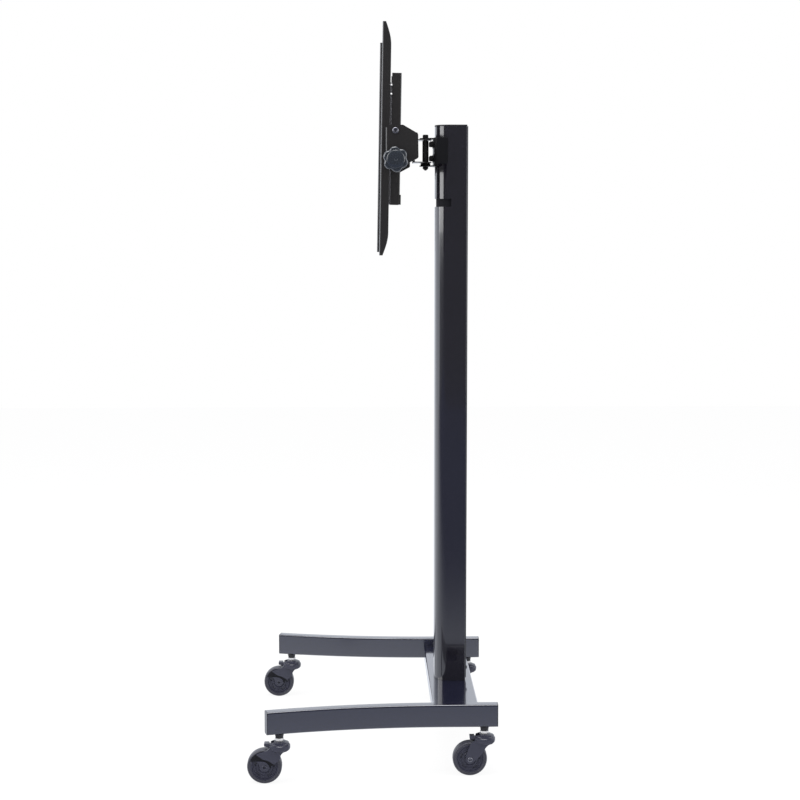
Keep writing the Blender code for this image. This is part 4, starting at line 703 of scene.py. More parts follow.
def hex_bolt(head_radius, head_depth, shank_radius, shank_length, collar=0.0):
    """A hexagon bolt along Z: its seat at 0, its chamfered head above and its shank below."""
    head = rod((0.0, 0.0), head_radius, 0.0, head_depth, ALONG_Z, 6)
    dome = turned(
        [
            (0.0, head_depth), (head_radius * 0.80, head_depth),
            (head_radius * 1.05, head_depth * 0.70),
            (head_radius * 1.05, -0.0001), (0.0, -0.0001),
        ]
    )
    head = changed(head, "INTERSECT", dome)
    shank = rod((0.0, 0.0), shank_radius, -shank_length, head_depth / 2.0, ALONG_Z)
    parts = [shank]
    if collar > 0.0:
        parts.append(rod((0.0, 0.0), collar, 0.0, COLLAR_SHEET, ALONG_Z))
    return changed(head, "UNION", *parts).data


def to_axis(direction, place):
    """Turns a piece that stands along Z to a direction, and moves its foot to a place."""
    turned_to = Vector(direction).to_track_quat("Z", "Y").to_matrix().to_4x4()
    return Matrix.Translation(place) @ turned_to


BLACK_STEEL = plated("black_steel", (0.030, 0.029, 0.031), roughness=0.34, metallic=0.6)
base_bolt = hex_bolt(head_radius=0.0065, head_depth=0.006, shank_radius=0.004, shank_length=0.0176)
for side, sign in SIDES:
    seat_x = sign * (base_high[0] - SHEET - GAP)
    for number in (1, 2):
        node = f"base_bolt_{side}_{number}"
        spot = middle_of(node)
        mesh = moved(base_bolt, to_axis((-sign, 0.0, 0.0), (seat_x, spot.y, spot.z)))
        piece("bolt_" + node, mesh, BLACK_STEEL, "stand", [node], "black_steel", edge=0.0003)


# Column: a steel tube with a crowned front in the gloss coat. It stands over a foot plate, and a slot
# for the cable runs round its front near the top, closed by a near-black plug that paints the shade
# inside it.
COLUMN_COAT = coat(
    "column_coat", colour=(0.009, 0.008, 0.013), edge_wear_and_highlight=(0.08, 0.08, 0.10),
    roughness=0.10, peel=0.00002, grain=700.0, edge_wear_and_highlight_share=0.1, clear=1.0, clear_roughness=0.03, ior=1.95,
)
# A near-black plastic that paints shade: the floor of the cable slot and the wavy recesses in the front
# casters.
SHADE_PLASTIC = plastic(
    "painted_shade_plastic", (0.003, 0.003, 0.007), roughness=0.70, grain=900.0, depth=0.00003
)
col_low, col_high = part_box("column")
CROWN_RADIUS = 0.080
CORNER_RADIUS = 0.030
ARC_STEPS = 12
SLOT_Z = 1.246
SLOT_HEIGHT = 0.018
SLOT_REACH = 0.036
SLOT_DEPTH = 0.0036
COLUMN_REAR_CORNER = 0.0014
LEAST_CORNER = 0.0008
COLUMN_WALL = 0.0025
SCREW_HOLE = 0.0029


def block(low, high):
    """A plain block between two corners."""
    body = bmesh.new()
    bmesh.ops.create_cube(body, size=1.0)
    bmesh.ops.scale(body, verts=body.verts, vec=Vector(high) - Vector(low))
    bmesh.ops.translate(body, verts=body.verts, vec=(Vector(high) + Vector(low)) / 2.0)
    mesh = bpy.data.meshes.new("block")
    body.to_mesh(mesh)
    body.free()
    return working("block", mesh)


def arc_points(centre_x, centre_y, radius, first, last):
    """Points on an arc, turned from straight ahead at zero to the column's right at 90 degrees."""
    points = []
    for step in range(ARC_STEPS + 1):
        turn = first + (last - first) * step / ARC_STEPS
        points.append((centre_x + radius * math.sin(turn), centre_y - radius * math.cos(turn), 0.0))
    return points


def column_outline(inset):
    """The column's section: a crowned front that turns into the flat sides on wide corners."""
    half = col_high[0] - inset
    rear = col_high[1] - inset
    rear_corner = max(COLUMN_REAR_CORNER - inset, LEAST_CORNER)
    corner_x = col_high[0] - CORNER_RADIUS
    reach = CROWN_RADIUS - CORNER_RADIUS
    turn = math.asin(corner_x / reach)
    crown_y = col_low[1] + CROWN_RADIUS
    corner_y = crown_y - reach * math.cos(turn)
    side = math.radians(90.0)
    corner = CORNER_RADIUS - inset
    points = arc_points(-corner_x, corner_y, corner, -side, -turn)
    points += arc_points(0.0, crown_y, CROWN_RADIUS - inset, -turn, turn)[1:-1]
    points += arc_points(corner_x, corner_y, corner, turn, side)
    return rounded([(half, rear, rear_corner), (-half, rear, rear_corner)] + points, 10)


foot_low, foot_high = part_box("column_foot")
column_tube = prism(
    [column_outline(0.0), column_outline(COLUMN_WALL)], foot_low[2], col_high[2], ALONG_Z
)
column_holes = []
for side, sign in SIDES:
    low, high = col_low[1] - CLEAR, col_low[1] + CLEAR
    for number in (1, 2):
        spot = middle_of(f"bracket_bolt_{side}_{number}")
        column_holes.append(rod((spot.x, spot.z), BOLT_HOLE, low, high, ALONG_Y))
    low, high = col_high[1] - CLEAR, col_high[1] + CLEAR
    spot = middle_of("column_foot_screw_" + side)
    column_holes.append(rod((spot.x, spot.z), SCREW_HOLE, low, high, ALONG_Y))
slot_half = SLOT_HEIGHT / 2.0
slot_rear = col_low[1] + SLOT_REACH
slot_side = col_high[0] + CLEAR
column_holes.append(
    block(
        (-slot_side, col_low[1] - CLEAR, SLOT_Z - slot_half),
        (slot_side, slot_rear, SLOT_Z + slot_half),
    )
)
column_tube = changed(column_tube, "DIFFERENCE", *column_holes)
piece("column_tube", column_tube.data, COLUMN_COAT, "stand", ["column"], "column_paint", limit=25.0)

# The slot's floor: a near-black plug that paints the shade inside the cable slot.
slot_shade_depth = prism([column_outline(SLOT_DEPTH)], SLOT_Z - slot_half, SLOT_Z + slot_half, ALONG_Z)
slot_shade_front = block(
    (-slot_side, col_low[1] - CLEAR, SLOT_Z - SLOT_HEIGHT),
    (slot_side, slot_rear, SLOT_Z + SLOT_HEIGHT),
)
slot_shade_plug = changed(slot_shade_depth, "INTERSECT", slot_shade_front)
piece("column_slot_shade_plug", slot_shade_plug.data, SHADE_PLASTIC, "stand", (), "black_plastic", edge=0.0004)
foot = prism([column_outline(COLUMN_WALL + GAP)], foot_low[2], foot_high[2], ALONG_Z)
piece("foot_plate", foot.data, BLACK_STEEL, "stand", ["column_foot"], "black_steel")


# Rear cover and lid: moulded black trims, a flat strip screwed to the column's rear and a thin lid
# with a plug that is pressed into the column's top.
TRIM_PLASTIC = plastic(
    "trim_plastic", (0.018, 0.018, 0.022), roughness=0.38, grain=1800.0, depth=0.00008
)
LID_SHEET = 0.003
strip_low, strip_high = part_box("column_rear_cover")
strip_corners = [
    (strip_high[0], strip_low[1], 0.0),
    (strip_high[0], strip_high[1], 0.001),
    (-strip_high[0], strip_high[1], 0.001),
    (-strip_high[0], strip_low[1], 0.0),
]
strip = prism([rounded(strip_corners, 4)], strip_low[2], strip_high[2], ALONG_Z)
strip_holes = []
for side, sign in SIDES:
    spot = middle_of("column_foot_screw_" + side)
    low, high = strip_low[1] - CLEAR, strip_high[1] + CLEAR
    strip_holes.append(rod((spot.x, spot.z), SCREW_HOLE, low, high, ALONG_Y))
strip = changed(strip, "DIFFERENCE", *strip_holes)
piece(
    "rear_cover", strip.data, TRIM_PLASTIC, "stand",
    ["column_rear_cover"], "black_plastic", edge=0.0002,
)

lid_low, lid_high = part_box("column_cap")
lid = prism([column_outline(0.0)], lid_high[2] - LID_SHEET, lid_high[2], ALONG_Z)
plug_top = lid_high[2] - LID_SHEET / 2.0
plug = prism([column_outline(COLUMN_WALL + GAP)], lid_low[2], plug_top, ALONG_Z)
lid = changed(lid, "UNION", plug)
piece(
    "column_lid", lid.data, TRIM_PLASTIC, "stand",
    ["column_cap"], "black_plastic", edge=0.0009, segments=3,
)


# Foot screws: two black pan-head screws with hexagon sockets, through the rear cover and the column
# into the foot plate.
screw_seat = strip_high[1] + GAP
pan_screw = turned(
    [
        (0.0, 0.0030), (0.0016, 0.0030), (0.0034, 0.0024), (0.0043, 0.0012), (0.0045, 0.0),
        (0.0025, 0.0), (0.0025, -0.010), (0.0, -0.010),
    ]
)
socket = rod((0.0, 0.0), radius=0.0016, low=0.0014, high=0.004, axes=ALONG_Z, steps=6)
pan_screw = changed(pan_screw, "DIFFERENCE", socket)
for side, sign in SIDES:
    spot = middle_of("column_foot_screw_" + side)
    mesh = moved(pan_screw.data, to_axis((0.0, 1.0, 0.0), (spot.x, screw_seat, spot.z)))
    piece("foot_screw_" + side, mesh, BLACK_STEEL, "stand", ["column_foot_screw_" + side], "black_steel")


# Column bracket: a saddle of black painted sheet steel, wrapped round the column's front and held by
# four flanged bolts. Its two ears carry the swivel pin.
BRACKET_COAT = coat(
    "bracket_coat", colour=(0.004, 0.004, 0.006), edge_wear_and_highlight=(0.05, 0.05, 0.06),
    roughness=0.38, peel=0.00006, grain=1400.0, edge_wear_and_highlight_share=0.1, clear=0.2, clear_roughness=0.12,
)
brk_low, brk_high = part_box("column_bracket")
BRACKET_SHEET = 0.0025
BRACKET_BEND = 0.006
BRACKET_SIDE_RISE = 0.006
EAR_NOSE = 0.0135
EAR_ROOT_HALF = 0.024
PIN_Y = middle_of("swivel_pin").y
PIN_BORE = 0.0044
outer = GAP + BRACKET_SHEET
column_half = col_high[0]
column_front = col_low[1]
saddle_outline = channel(
    (-column_half - outer, column_half + outer), brk_high[1], column_front - outer, BRACKET_SHEET,
    bend=BRACKET_BEND + BRACKET_SHEET, inner_bend=BRACKET_BEND, steps=12,
)
saddle = prism([saddle_outline], brk_low[2], brk_high[2], ALONG_Z)


def ear_outline(half, root, nose_y):
    """An ear from its root line to a rounded nose round the swivel pin."""
    corners = [
        (-half, root, 0.0),
        (-EAR_NOSE, nose_y, EAR_NOSE * 0.98),
        (EAR_NOSE, nose_y, EAR_NOSE * 0.98),
        (half, root, 0.0),
    ]
    return rounded(corners, 10)


bracket_ear = ear_outline(EAR_ROOT_HALF, column_front - outer + BRACKET_SHEET / 2, PIN_Y - EAR_NOSE)
low_ear = prism([bracket_ear], brk_low[2], brk_low[2] + BRACKET_SHEET, ALONG_Z)
high_ear = prism([bracket_ear], brk_high[2] - BRACKET_SHEET, brk_high[2], ALONG_Z)
saddle = changed(saddle, "UNION", low_ear, high_ear)
pin_hole = rod((0.0, PIN_Y), PIN_BORE, brk_low[2] - CLEAR, brk_high[2] + CLEAR, ALONG_Z)
bolt_holes = []
low, high = column_front - CLEAR, column_front + BRACKET_BEND
for side, sign in SIDES:
    for number in (1, 2):
        spot = middle_of(f"bracket_bolt_{side}_{number}")
        bolt_holes.append(rod((spot.x, spot.z), BOLT_HOLE, low, high, ALONG_Y))
side_cut = block(
    (-column_half - CLEAR, column_front + BRACKET_BEND, brk_low[2] - CLEAR),
    (column_half + CLEAR, brk_high[1] + CLEAR, brk_low[2] + BRACKET_SIDE_RISE),
)
saddle = changed(saddle, "DIFFERENCE", pin_hole, side_cut, *bolt_holes)
piece("saddle", saddle.data, BRACKET_COAT, "stand", ["column_bracket"], "head_paint", edge=0.0004)

flange_bolt = hex_bolt(
    head_radius=0.0060, head_depth=0.0092, shank_radius=0.004, shank_length=0.014, collar=0.009
)
bolt_seat = column_front - outer - GAP
for side, sign in SIDES:
    for number in (1, 2):
        node = f"bracket_bolt_{side}_{number}"
        spot = middle_of(node)
        mesh = moved(flange_bolt, to_axis((0.0, -1.0, 0.0), (spot.x, bolt_seat, spot.z)))
        piece("flange_" + node, mesh, BLACK_STEEL, "stand", [node], "black_steel", edge=0.0003)


# Swivel pin: a long black hexagon bolt down through all four ears, with a thick washer and a pointed
# cap nut below.
pin_low, pin_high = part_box("swivel_pin")
pin_head = brk_high[2] + GAP
pin = hex_bolt(
    head_radius=0.0065, head_depth=pin_high[2] - pin_head, shank_radius=0.004,
    shank_length=pin_head - pin_low[2],
)
mesh = moved(pin, Matrix.Translation((0.0, PIN_Y, pin_head)))
piece("pin", mesh, BLACK_STEEL, "stand", ["swivel_pin"], "black_steel", edge=0.0003)
NUT_RADIUS = 0.0064
NUT_CAP = 0.0040
nut_low, nut_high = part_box("swivel_nut")
nut_body = rod((0.0, 0.0), NUT_RADIUS, nut_low[2] + NUT_CAP, nut_high[2], ALONG_Z, 6)
nut_dome = turned(
    [
        (0.0, nut_high[2]), (0.0058, nut_high[2]), (0.0060, nut_high[2] - 0.0006),
        (0.0058, nut_low[2] + 0.0045), (0.0044, nut_low[2] + 0.0024), (0.0022, nut_low[2] + 0.0006),
        (0.0, nut_low[2]),
    ]
)
nut = changed(nut_dome, "UNION", nut_body)
nut_bore = rod((0.0, 0.0), PIN_BORE, pin_low[2] - GAP, nut_high[2] + CLEAR, ALONG_Z)
nut = changed(nut, "DIFFERENCE", nut_bore)
mesh = moved(nut.data, Matrix.Translation((0.0, PIN_Y, 0.0)))
piece("cap_nut", mesh, BLACK_STEEL, "stand", ["swivel_nut"], "black_steel", edge=0.0002)


RING_EASE = 0.0005


def ring_on_pin(node, radius, body, finish, slot):
    """A plain ring with eased rims and the pin's bore, as high as its CAD node."""
    low, high = (corner[2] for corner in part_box(node))
    profile = [
        (PIN_BORE, high), (radius - RING_EASE, high), (radius, high - RING_EASE),
        (radius, low + RING_EASE), (radius - RING_EASE, low), (PIN_BORE, low),
    ]
    mesh = moved(turned(profile, closed=True).data, Matrix.Translation((0.0, PIN_Y, 0.0)))
    piece("ring_" + node, mesh, finish, body, [node], slot)


ring_on_pin("swivel_washer", 0.0112, "stand", BLACK_STEEL, "black_steel")


# Yoke: a wide pressed channel behind the head with a U bracket, both of sheet steel in satin black,
# and the spacer tube that turns on the swivel pin between the bracket's ears.
HEAD_COAT = coat(
    "head_coat", colour=(0.018, 0.0165, 0.017), edge_wear_and_highlight=(0.10, 0.10, 0.11),
    roughness=0.30, peel=0.00001, grain=1400.0, edge_wear_and_highlight_share=0.0, clear=0.8, clear_roughness=0.10,
)
ring_on_pin("swivel_barrel", 0.00715, "head", HEAD_COAT, "head_paint")
yoke_low, yoke_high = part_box("yoke")
YOKE_SHEET = 0.0025
YOKE_FRONT_Y = yoke_low[1]
YOKE_REAR_Y = 0.096
YOKE_BOTTOM_Z = 1.353
YOKE_TOP_Z = yoke_high[2]
EAR_TOP_Z = 1.3888
PAD_REAR_Y = 0.0985
YOKE_EAR_HALF_X = 0.034
yoke_outline = channel(
    (YOKE_BOTTOM_Z, YOKE_TOP_Z), YOKE_FRONT_Y, YOKE_REAR_Y, YOKE_SHEET, bend=0.003, inner_bend=0.001
)
yoke = prism([[(y, z) for z, y in yoke_outline]], yoke_low[0], yoke_high[0], ALONG_X)
pad = block(
    (-YOKE_EAR_HALF_X, YOKE_REAR_Y - YOKE_SHEET / 2, yoke_low[2]),
    (YOKE_EAR_HALF_X, PAD_REAR_Y, EAR_TOP_Z),
)
yoke_ear = ear_outline(YOKE_EAR_HALF_X, PAD_REAR_Y - YOKE_SHEET / 2, PIN_Y + EAR_NOSE)[::-1]
low_ear = prism([yoke_ear], yoke_low[2], yoke_low[2] + YOKE_SHEET, ALONG_Z)
high_ear = prism([yoke_ear], EAR_TOP_Z - YOKE_SHEET, EAR_TOP_Z, ALONG_Z)
yoke = changed(yoke, "UNION", pad, low_ear, high_ear)
yoke_bore = rod((0.0, PIN_Y), PIN_BORE, yoke_low[2] - CLEAR, yoke_high[2] + CLEAR, ALONG_Z)
yoke = changed(yoke, "DIFFERENCE", yoke_bore)
piece("yoke_channel", yoke.data, HEAD_COAT, "head", ["yoke"], "head_paint", edge=0.0004)


# End plates: pressed steel plates outside the rails, with a front flange turned in on a wide bend,
# the pivot hole and the arc slot that the knob's stud runs in. The yoke carries one at each end.
plate_low, plate_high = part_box("end_plate_right")
PLATE_OUTER_X = plate_high[0]
PLATE_SHEET = 0.0025
PLATE_FRONT_Y = plate_low[1]
PLATE_BEND = 0.0035
PIVOT = middle_of("pivot_bolt_right")
PIVOT_Y = PIVOT.y
PIVOT_Z = PIVOT.z
KNOB_Y = 0.0501
KNOB_Z = 1.3333
REST_TILT = math.radians(-0.95)
SLOT_RANGE = (math.radians(-8.0), math.radians(20.0))
SLOT_STEPS = 24
STUD_SLOT_RADIUS = 0.0036
PLATE_BOTTOM_Z = 1.3080
FLANGE_BOTTOM_Z = 1.320
FLANGE_TOP_Z = 1.400
plate_corners = [
    (PLATE_FRONT_Y + PLATE_BEND, FLANGE_BOTTOM_Z, 0.004),
    (0.0400, PLATE_BOTTOM_Z, 0.006), (0.0566, PLATE_BOTTOM_Z, 0.004), (0.0735, 1.3241, 0.008),
    (0.0975, 1.3368, 0.004), (0.0968, 1.3872, 0.005), (0.0651, plate_high[2], 0.008),
    (PLATE_FRONT_Y + PLATE_BEND, plate_high[2], 0.003),
]
plate = prism([rounded(plate_corners)], PLATE_OUTER_X - PLATE_SHEET, PLATE_OUTER_X, ALONG_X)
flange_corners = [
    (PLATE_OUTER_X, PLATE_FRONT_Y + PLATE_BEND + 0.001, 0.0),
    (PLATE_OUTER_X - PLATE_SHEET, PLATE_FRONT_Y + PLATE_BEND + 0.001, 0.0),
    (PLATE_OUTER_X - PLATE_SHEET, PLATE_FRONT_Y + PLATE_SHEET, 0.0008),
    (plate_low[0], PLATE_FRONT_Y + PLATE_SHEET, 0.0),
    (plate_low[0], PLATE_FRONT_Y, 0.0),
    (PLATE_OUTER_X, PLATE_FRONT_Y, PLATE_BEND - 0.0002),
]
flange = prism([rounded(flange_corners, 10)], FLANGE_BOTTOM_Z, FLANGE_TOP_Z, ALONG_Z)
plate = changed(plate, "UNION", flange)
slot_reach = PIVOT_Z - KNOB_Z
slot_lean = math.atan2(KNOB_Y - PIVOT_Y, slot_reach)
slot_outer = []
slot_inner = []
slot_start = slot_lean + REST_TILT + SLOT_RANGE[0]
for step in range(SLOT_STEPS + 1):
    angle = slot_start + (SLOT_RANGE[1] - SLOT_RANGE[0]) * step / SLOT_STEPS
    for offset, line in ((STUD_SLOT_RADIUS, slot_outer), (-STUD_SLOT_RADIUS, slot_inner)):
        reach = slot_reach + offset
        line.append((PIVOT_Y + reach * math.sin(angle), PIVOT_Z - reach * math.cos(angle)))
low, high = PLATE_OUTER_X - PLATE_SHEET - CLEAR, PLATE_OUTER_X + CLEAR
stud_slot = prism([slot_outer + slot_inner[::-1]], low, high, ALONG_X)
pivot_hole = rod((PIVOT_Y, PIVOT_Z), BOLT_HOLE, low, high, ALONG_X)
plate = changed(plate, "DIFFERENCE", stud_slot, pivot_hole)
pair("plate_{}", plate.data, (), HEAD_COAT, "head", "end_plate_{}", "head_paint", edge=0.0004)


# Pivot bolts: plated socket-head screws at the tops of the end plates, with a deep dark socket. The
# tilt frame turns on them.
BOLT_PLATE = plated("bolt_plate", (0.30, 0.30, 0.34), roughness=0.26, metallic=1.0)
socket_bolt = turned(
    [
        (0.0, 0.0004), (0.0030, 0.0004), (0.0033, 0.0036), (0.0042, 0.0040), (0.0054, 0.0038),
        (0.0063, 0.0030), (0.0066, 0.0020), (0.0066, 0.0), (0.0040, 0.0), (0.0040, -0.0118),
        (0.0, -0.0118),
    ]
).data
for side, sign in SIDES:
    place = (sign * (PLATE_OUTER_X + GAP), PIVOT_Y, PIVOT_Z)
    mesh = moved(socket_bolt, to_axis((sign, 0.0, 0.0), place))
    piece("socket_bolt_" + side, mesh, BOLT_PLATE, "head", ["pivot_bolt_" + side], "zinc", limit=30.0)


# Knobs: moulded star grips with a domed crown, on studs that clamp the tilt. Everything from here to
# the casters leans with the head's resting tilt, about the pivot bolts.
KNOB_PLASTIC = plastic(
    "knob_plastic", (0.018, 0.023, 0.032), roughness=0.16, grain=600.0, depth=0.00002, ior=2.0
)
TILT = (
    Matrix.Translation((0.0, PIVOT_Y, PIVOT_Z))
    @ Matrix.Rotation(REST_TILT, 4, "X")
    @ Matrix.Translation((0.0, -PIVOT_Y, -PIVOT_Z))
)
KNOB_LOBES = 6
KNOB_PHASE = math.radians(38.0)
GRIP_MEAN = 0.0254
GRIP_LOBE = 0.0018
GRIP_BREADTH = 0.0004
GRIP_EASE = 0.0045
GRIP_FOOT = 0.0012
EASE_STEPS = 8
GRIP_HEIGHT = 0.013
KNOB_NECK = 0.005
STUD_LENGTH = 0.016


def lobed(inset, count=144):
    """The grip's outline, an inset inside its edge: a round with broad rounded lobes."""
    points = []
    for step in range(count):
        angle = math.tau * step / count
        lobe_turn = KNOB_LOBES * (angle - KNOB_PHASE)
        radius = GRIP_MEAN - inset + GRIP_LOBE * math.cos(lobe_turn)
        radius -= GRIP_BREADTH * math.cos(2.0 * lobe_turn)
        points.append((radius * math.cos(angle), radius * math.sin(angle)))
    return points


def stacked(layers):
    """A solid through (outline, x) layers of equal count."""
    body = bmesh.new()
    rings = []
    for outline, x in layers:
        rings.append([body.verts.new((x, y, z)) for y, z in outline])
    for lower, upper in zip(rings, rings[1:]):
        for index, corner in enumerate(lower):
            after = (index + 1) % len(lower)
            body.faces.new((corner, lower[after], upper[after], upper[index]))
    body.faces.new(rings[0][::-1])
    body.faces.new(rings[-1])
    mesh = bpy.data.meshes.new("stacked")
    body.to_mesh(mesh)
    body.free()
    return mesh


stud_seat = PLATE_OUTER_X + GAP
grip_low = stud_seat + KNOB_NECK
grip_high = grip_low + GRIP_HEIGHT
layers = [(lobed(GRIP_FOOT), grip_low), (lobed(0.0), grip_low + GRIP_FOOT)]
for step in range(EASE_STEPS + 1):
    turn = math.pi / 2.0 * step / EASE_STEPS
    inset = GRIP_EASE * (1.0 - math.cos(turn))
    layers.append((lobed(inset), grip_high - GRIP_EASE * (1.0 - math.sin(turn))))
grip = stacked(layers)
crown = turned(
    [
        (0.0, grip_high + 0.0030), (0.0030, grip_high + 0.0030), (0.0036, grip_high + 0.0035),
        (0.0120, grip_high + 0.0033), (0.0165, grip_high + 0.0026), (0.0190, grip_high + 0.0012),
        (0.0198, grip_high - 0.0008), (0.0110, grip_low + 0.001), (0.0110, stud_seat),
        (0.0030, stud_seat), (0.0030, stud_seat - STUD_LENGTH), (0.0, stud_seat - STUD_LENGTH),
    ],
    steps=96, axes=ALONG_X,
)
knob_steps = (Matrix.Translation((0.0, KNOB_Y, KNOB_Z)), TILT)
pair("knob_grip_{}", grip, knob_steps, KNOB_PLASTIC, "knob_{}", "tilt_knob_{}", "knob_plastic")
pair(
    "knob_crown_{}", crown.data, knob_steps, KNOB_PLASTIC, "knob_{}",
    None, "knob_plastic", edge=0.0004, limit=32.0,
)


# Tilt beam: a wide channel of satin black sheet steel, open to the rear and notched at its middle
# for the spine. It hangs between the end plates on the pivot bolts, behind the rails.
BEAM_SHEET = 0.0025
BEAM_FRONT_Y = 0.0388
BEAM_REAR_Y = 0.058
BEAM_BOTTOM_Z = 1.318
BEAM_TOP_Z = 1.4035
STUD_HOLE = 0.0034
BEAM_END_INSET = 0.0005
HOLE_MARGIN = 0.002
beam_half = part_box("tilt_beam")[1][0]
beam_outline = channel(
    (BEAM_BOTTOM_Z, BEAM_TOP_Z), BEAM_REAR_Y, BEAM_FRONT_Y, BEAM_SHEET, bend=0.003, inner_bend=0.001
)
beam = prism([[(y, z) for z, y in beam_outline]], -beam_half, beam_half, ALONG_X)
beam_ends = []
beam_holes = []
for side, sign in SIDES:
    end_x = beam_half - BEAM_END_INSET
    low, high = sorted((sign * end_x, sign * (end_x - BEAM_SHEET)))
    beam_ends.append(
        block(
            (low, BEAM_FRONT_Y + BEAM_SHEET / 2, BEAM_BOTTOM_Z + BEAM_SHEET / 2),
            (high, BEAM_REAR_Y - BEAM_END_INSET, BEAM_TOP_Z - BEAM_SHEET / 2),
        )
    )
    inner, outer = low - HOLE_MARGIN, high + HOLE_MARGIN
    beam_holes.append(rod((PIVOT_Y, PIVOT_Z), BOLT_HOLE, inner, outer, ALONG_X))
    beam_holes.append(rod((KNOB_Y, KNOB_Z), STUD_HOLE, inner, outer, ALONG_X))
beam = changed(beam, "UNION", *beam_ends)
SPINE_HALF_X = 0.045
INTERFACE_HALF_X = SPINE_HALF_X + 0.002
notch_half = INTERFACE_HALF_X + 0.001
notch = block(
    (-notch_half, BEAM_FRONT_Y + BEAM_SHEET - 0.0002, BEAM_BOTTOM_Z - CLEAR),
    (notch_half, BEAM_REAR_Y + CLEAR, BEAM_TOP_Z + CLEAR),
)
beam = changed(beam, "DIFFERENCE", notch, *beam_holes)
piece("beam", moved(beam.data, TILT), HEAD_COAT, "tilt_frame", ["tilt_beam"], "head_paint", edge=0.0004)


# Interface plate: a flat steel plate in the beam's notch, in the head's coat with its edge painted pale
# as a highlight line, with two bright screws in each side edge.
# The pale edge colour at full share paints a highlight line along the plate's bevelled edge.
INTERFACE_PAINTED_HIGHLIGHT_COAT = coat(
    "interface_coat_painted_edge_highlight", colour=(0.018, 0.0165, 0.017), edge_wear_and_highlight=(0.42, 0.42, 0.47),
    roughness=0.30, peel=0.00001, grain=1400.0, edge_wear_and_highlight_share=1.0, clear=0.8, clear_roughness=0.10,
)
ZINC = plated("zinc_plate", (0.93, 0.93, 0.95), roughness=0.24, metallic=0.3)
INTERFACE_CORNER = 0.004
PLATE_Y = BEAM_FRONT_Y + BEAM_SHEET + GAP
INTERFACE_SHEET = 0.003
SPINE_BOTTOM_Z = 1.2419
INTERFACE_TOP_Z = 1.514
EDGE_SCREWS = (("low", 1.488), ("high", 1.508))
EDGE_SCREW_INSET = 0.0009
EDGE_SCREW_LIFT = 0.0001
plate_outline = section(2.0 * INTERFACE_HALF_X, INTERFACE_TOP_Z - SPINE_BOTTOM_Z, INTERFACE_CORNER)
plate_middle = (INTERFACE_TOP_Z + SPINE_BOTTOM_Z) / 2.0
flat = prism([plate_outline], PLATE_Y, PLATE_Y + INTERFACE_SHEET, ALONG_Y)
interface = moved(flat.data, Matrix.Translation((0.0, 0.0, plate_middle)), TILT)
piece(
    "interface", interface, INTERFACE_PAINTED_HIGHLIGHT_COAT, "tilt_frame",
    ["interface_plate"], "head_paint", edge=0.0008, segments=3,
)
button_screw = turned(
    [(0.0, 0.0018), (0.0008, 0.0018), (0.0016, 0.0013), (0.0021, 0.0004), (0.0021, 0.0), (0.0, 0.0)]
).data
screw_y = PLATE_Y + INTERFACE_SHEET - EDGE_SCREW_INSET
for side, sign in SIDES:
    for level, z in EDGE_SCREWS:
        seat = (sign * (INTERFACE_HALF_X + EDGE_SCREW_LIFT), screw_y, z)
        edge_screw = moved(button_screw, to_axis((sign, 0.0, 0.0), seat), TILT)
        piece(f"interface_screw_{side}_{level}", edge_screw, ZINC, "tilt_frame", (), "zinc")


# Spine: a narrow folded channel of satin black sheet behind the interface plate, with a short
# doubler at its foot.
SPINE_TOP_Z = 1.5348
SPINE_REAR_Y = 0.0664
SPINE_SHEET = 0.002
DOUBLER_SHEET = 0.0023
DOUBLER_HEIGHT = 0.022
spine_front = PLATE_Y + INTERFACE_SHEET + GAP
spine_outline = channel(
    (-SPINE_HALF_X, SPINE_HALF_X), spine_front, SPINE_REAR_Y, SPINE_SHEET, bend=0.003, inner_bend=0.001
)
spine = prism([spine_outline], SPINE_BOTTOM_Z, SPINE_TOP_Z, ALONG_Z)
doubler = block(
    (-SPINE_HALF_X, SPINE_REAR_Y - SPINE_SHEET / 2, SPINE_BOTTOM_Z),
    (SPINE_HALF_X, SPINE_REAR_Y + DOUBLER_SHEET, SPINE_BOTTOM_Z + DOUBLER_HEIGHT),
)
spine = changed(spine, "UNION", doubler)
spine_mesh = moved(spine.data, TILT)
piece("spine_channel", spine_mesh, HEAD_COAT, "tilt_frame", ["spine"], "head_paint", edge=0.0004)


# Screen rails: channels of pressed sheet steel in satin black, with wide bends, long screw slots and
# sides that curve in towards both ends. Each hangs on the beam by the clamp inside it.
RAIL_X = 0.2117
RAIL_HALF_X = 0.015
RAIL_FRONT_Y = 0.0197
RAIL_REAR_Y = BEAM_FRONT_Y - GAP
RAIL_BOTTOM_Z = 1.1305
RAIL_TOP_Z = 1.6263
RAIL_SHEET = 0.002
RAIL_BEND = 0.003
RAIL_TIP_DEPTH = 0.007
RAIL_TIP_LENGTH = 0.050
RAIL_TIP_STEPS = 24
RAIL_MARGIN = 0.002
rail_side = [(RAIL_FRONT_Y, RAIL_TOP_Z), (RAIL_FRONT_Y, RAIL_BOTTOM_Z)]
rail_curve = []
rail_deepening = RAIL_REAR_Y - RAIL_FRONT_Y - RAIL_TIP_DEPTH
for step in range(RAIL_TIP_STEPS + 1):
    share = step / RAIL_TIP_STEPS
    depth = RAIL_TIP_DEPTH + rail_deepening * math.sin(share * math.pi / 2.0)
    rail_curve.append((RAIL_FRONT_Y + depth, share * RAIL_TIP_LENGTH))
rail_side += [(y, RAIL_BOTTOM_Z + along) for y, along in rail_curve]
rail_side += [(y, RAIL_TOP_Z - along) for y, along in reversed(rail_curve)]
rail_rear = RAIL_REAR_Y + RAIL_MARGIN
rail_outline = channel(
    (RAIL_X - RAIL_HALF_X, RAIL_X + RAIL_HALF_X), rail_rear, RAIL_FRONT_Y, RAIL_SHEET,
    bend=RAIL_BEND, inner_bend=RAIL_BEND - RAIL_SHEET, steps=8,
)
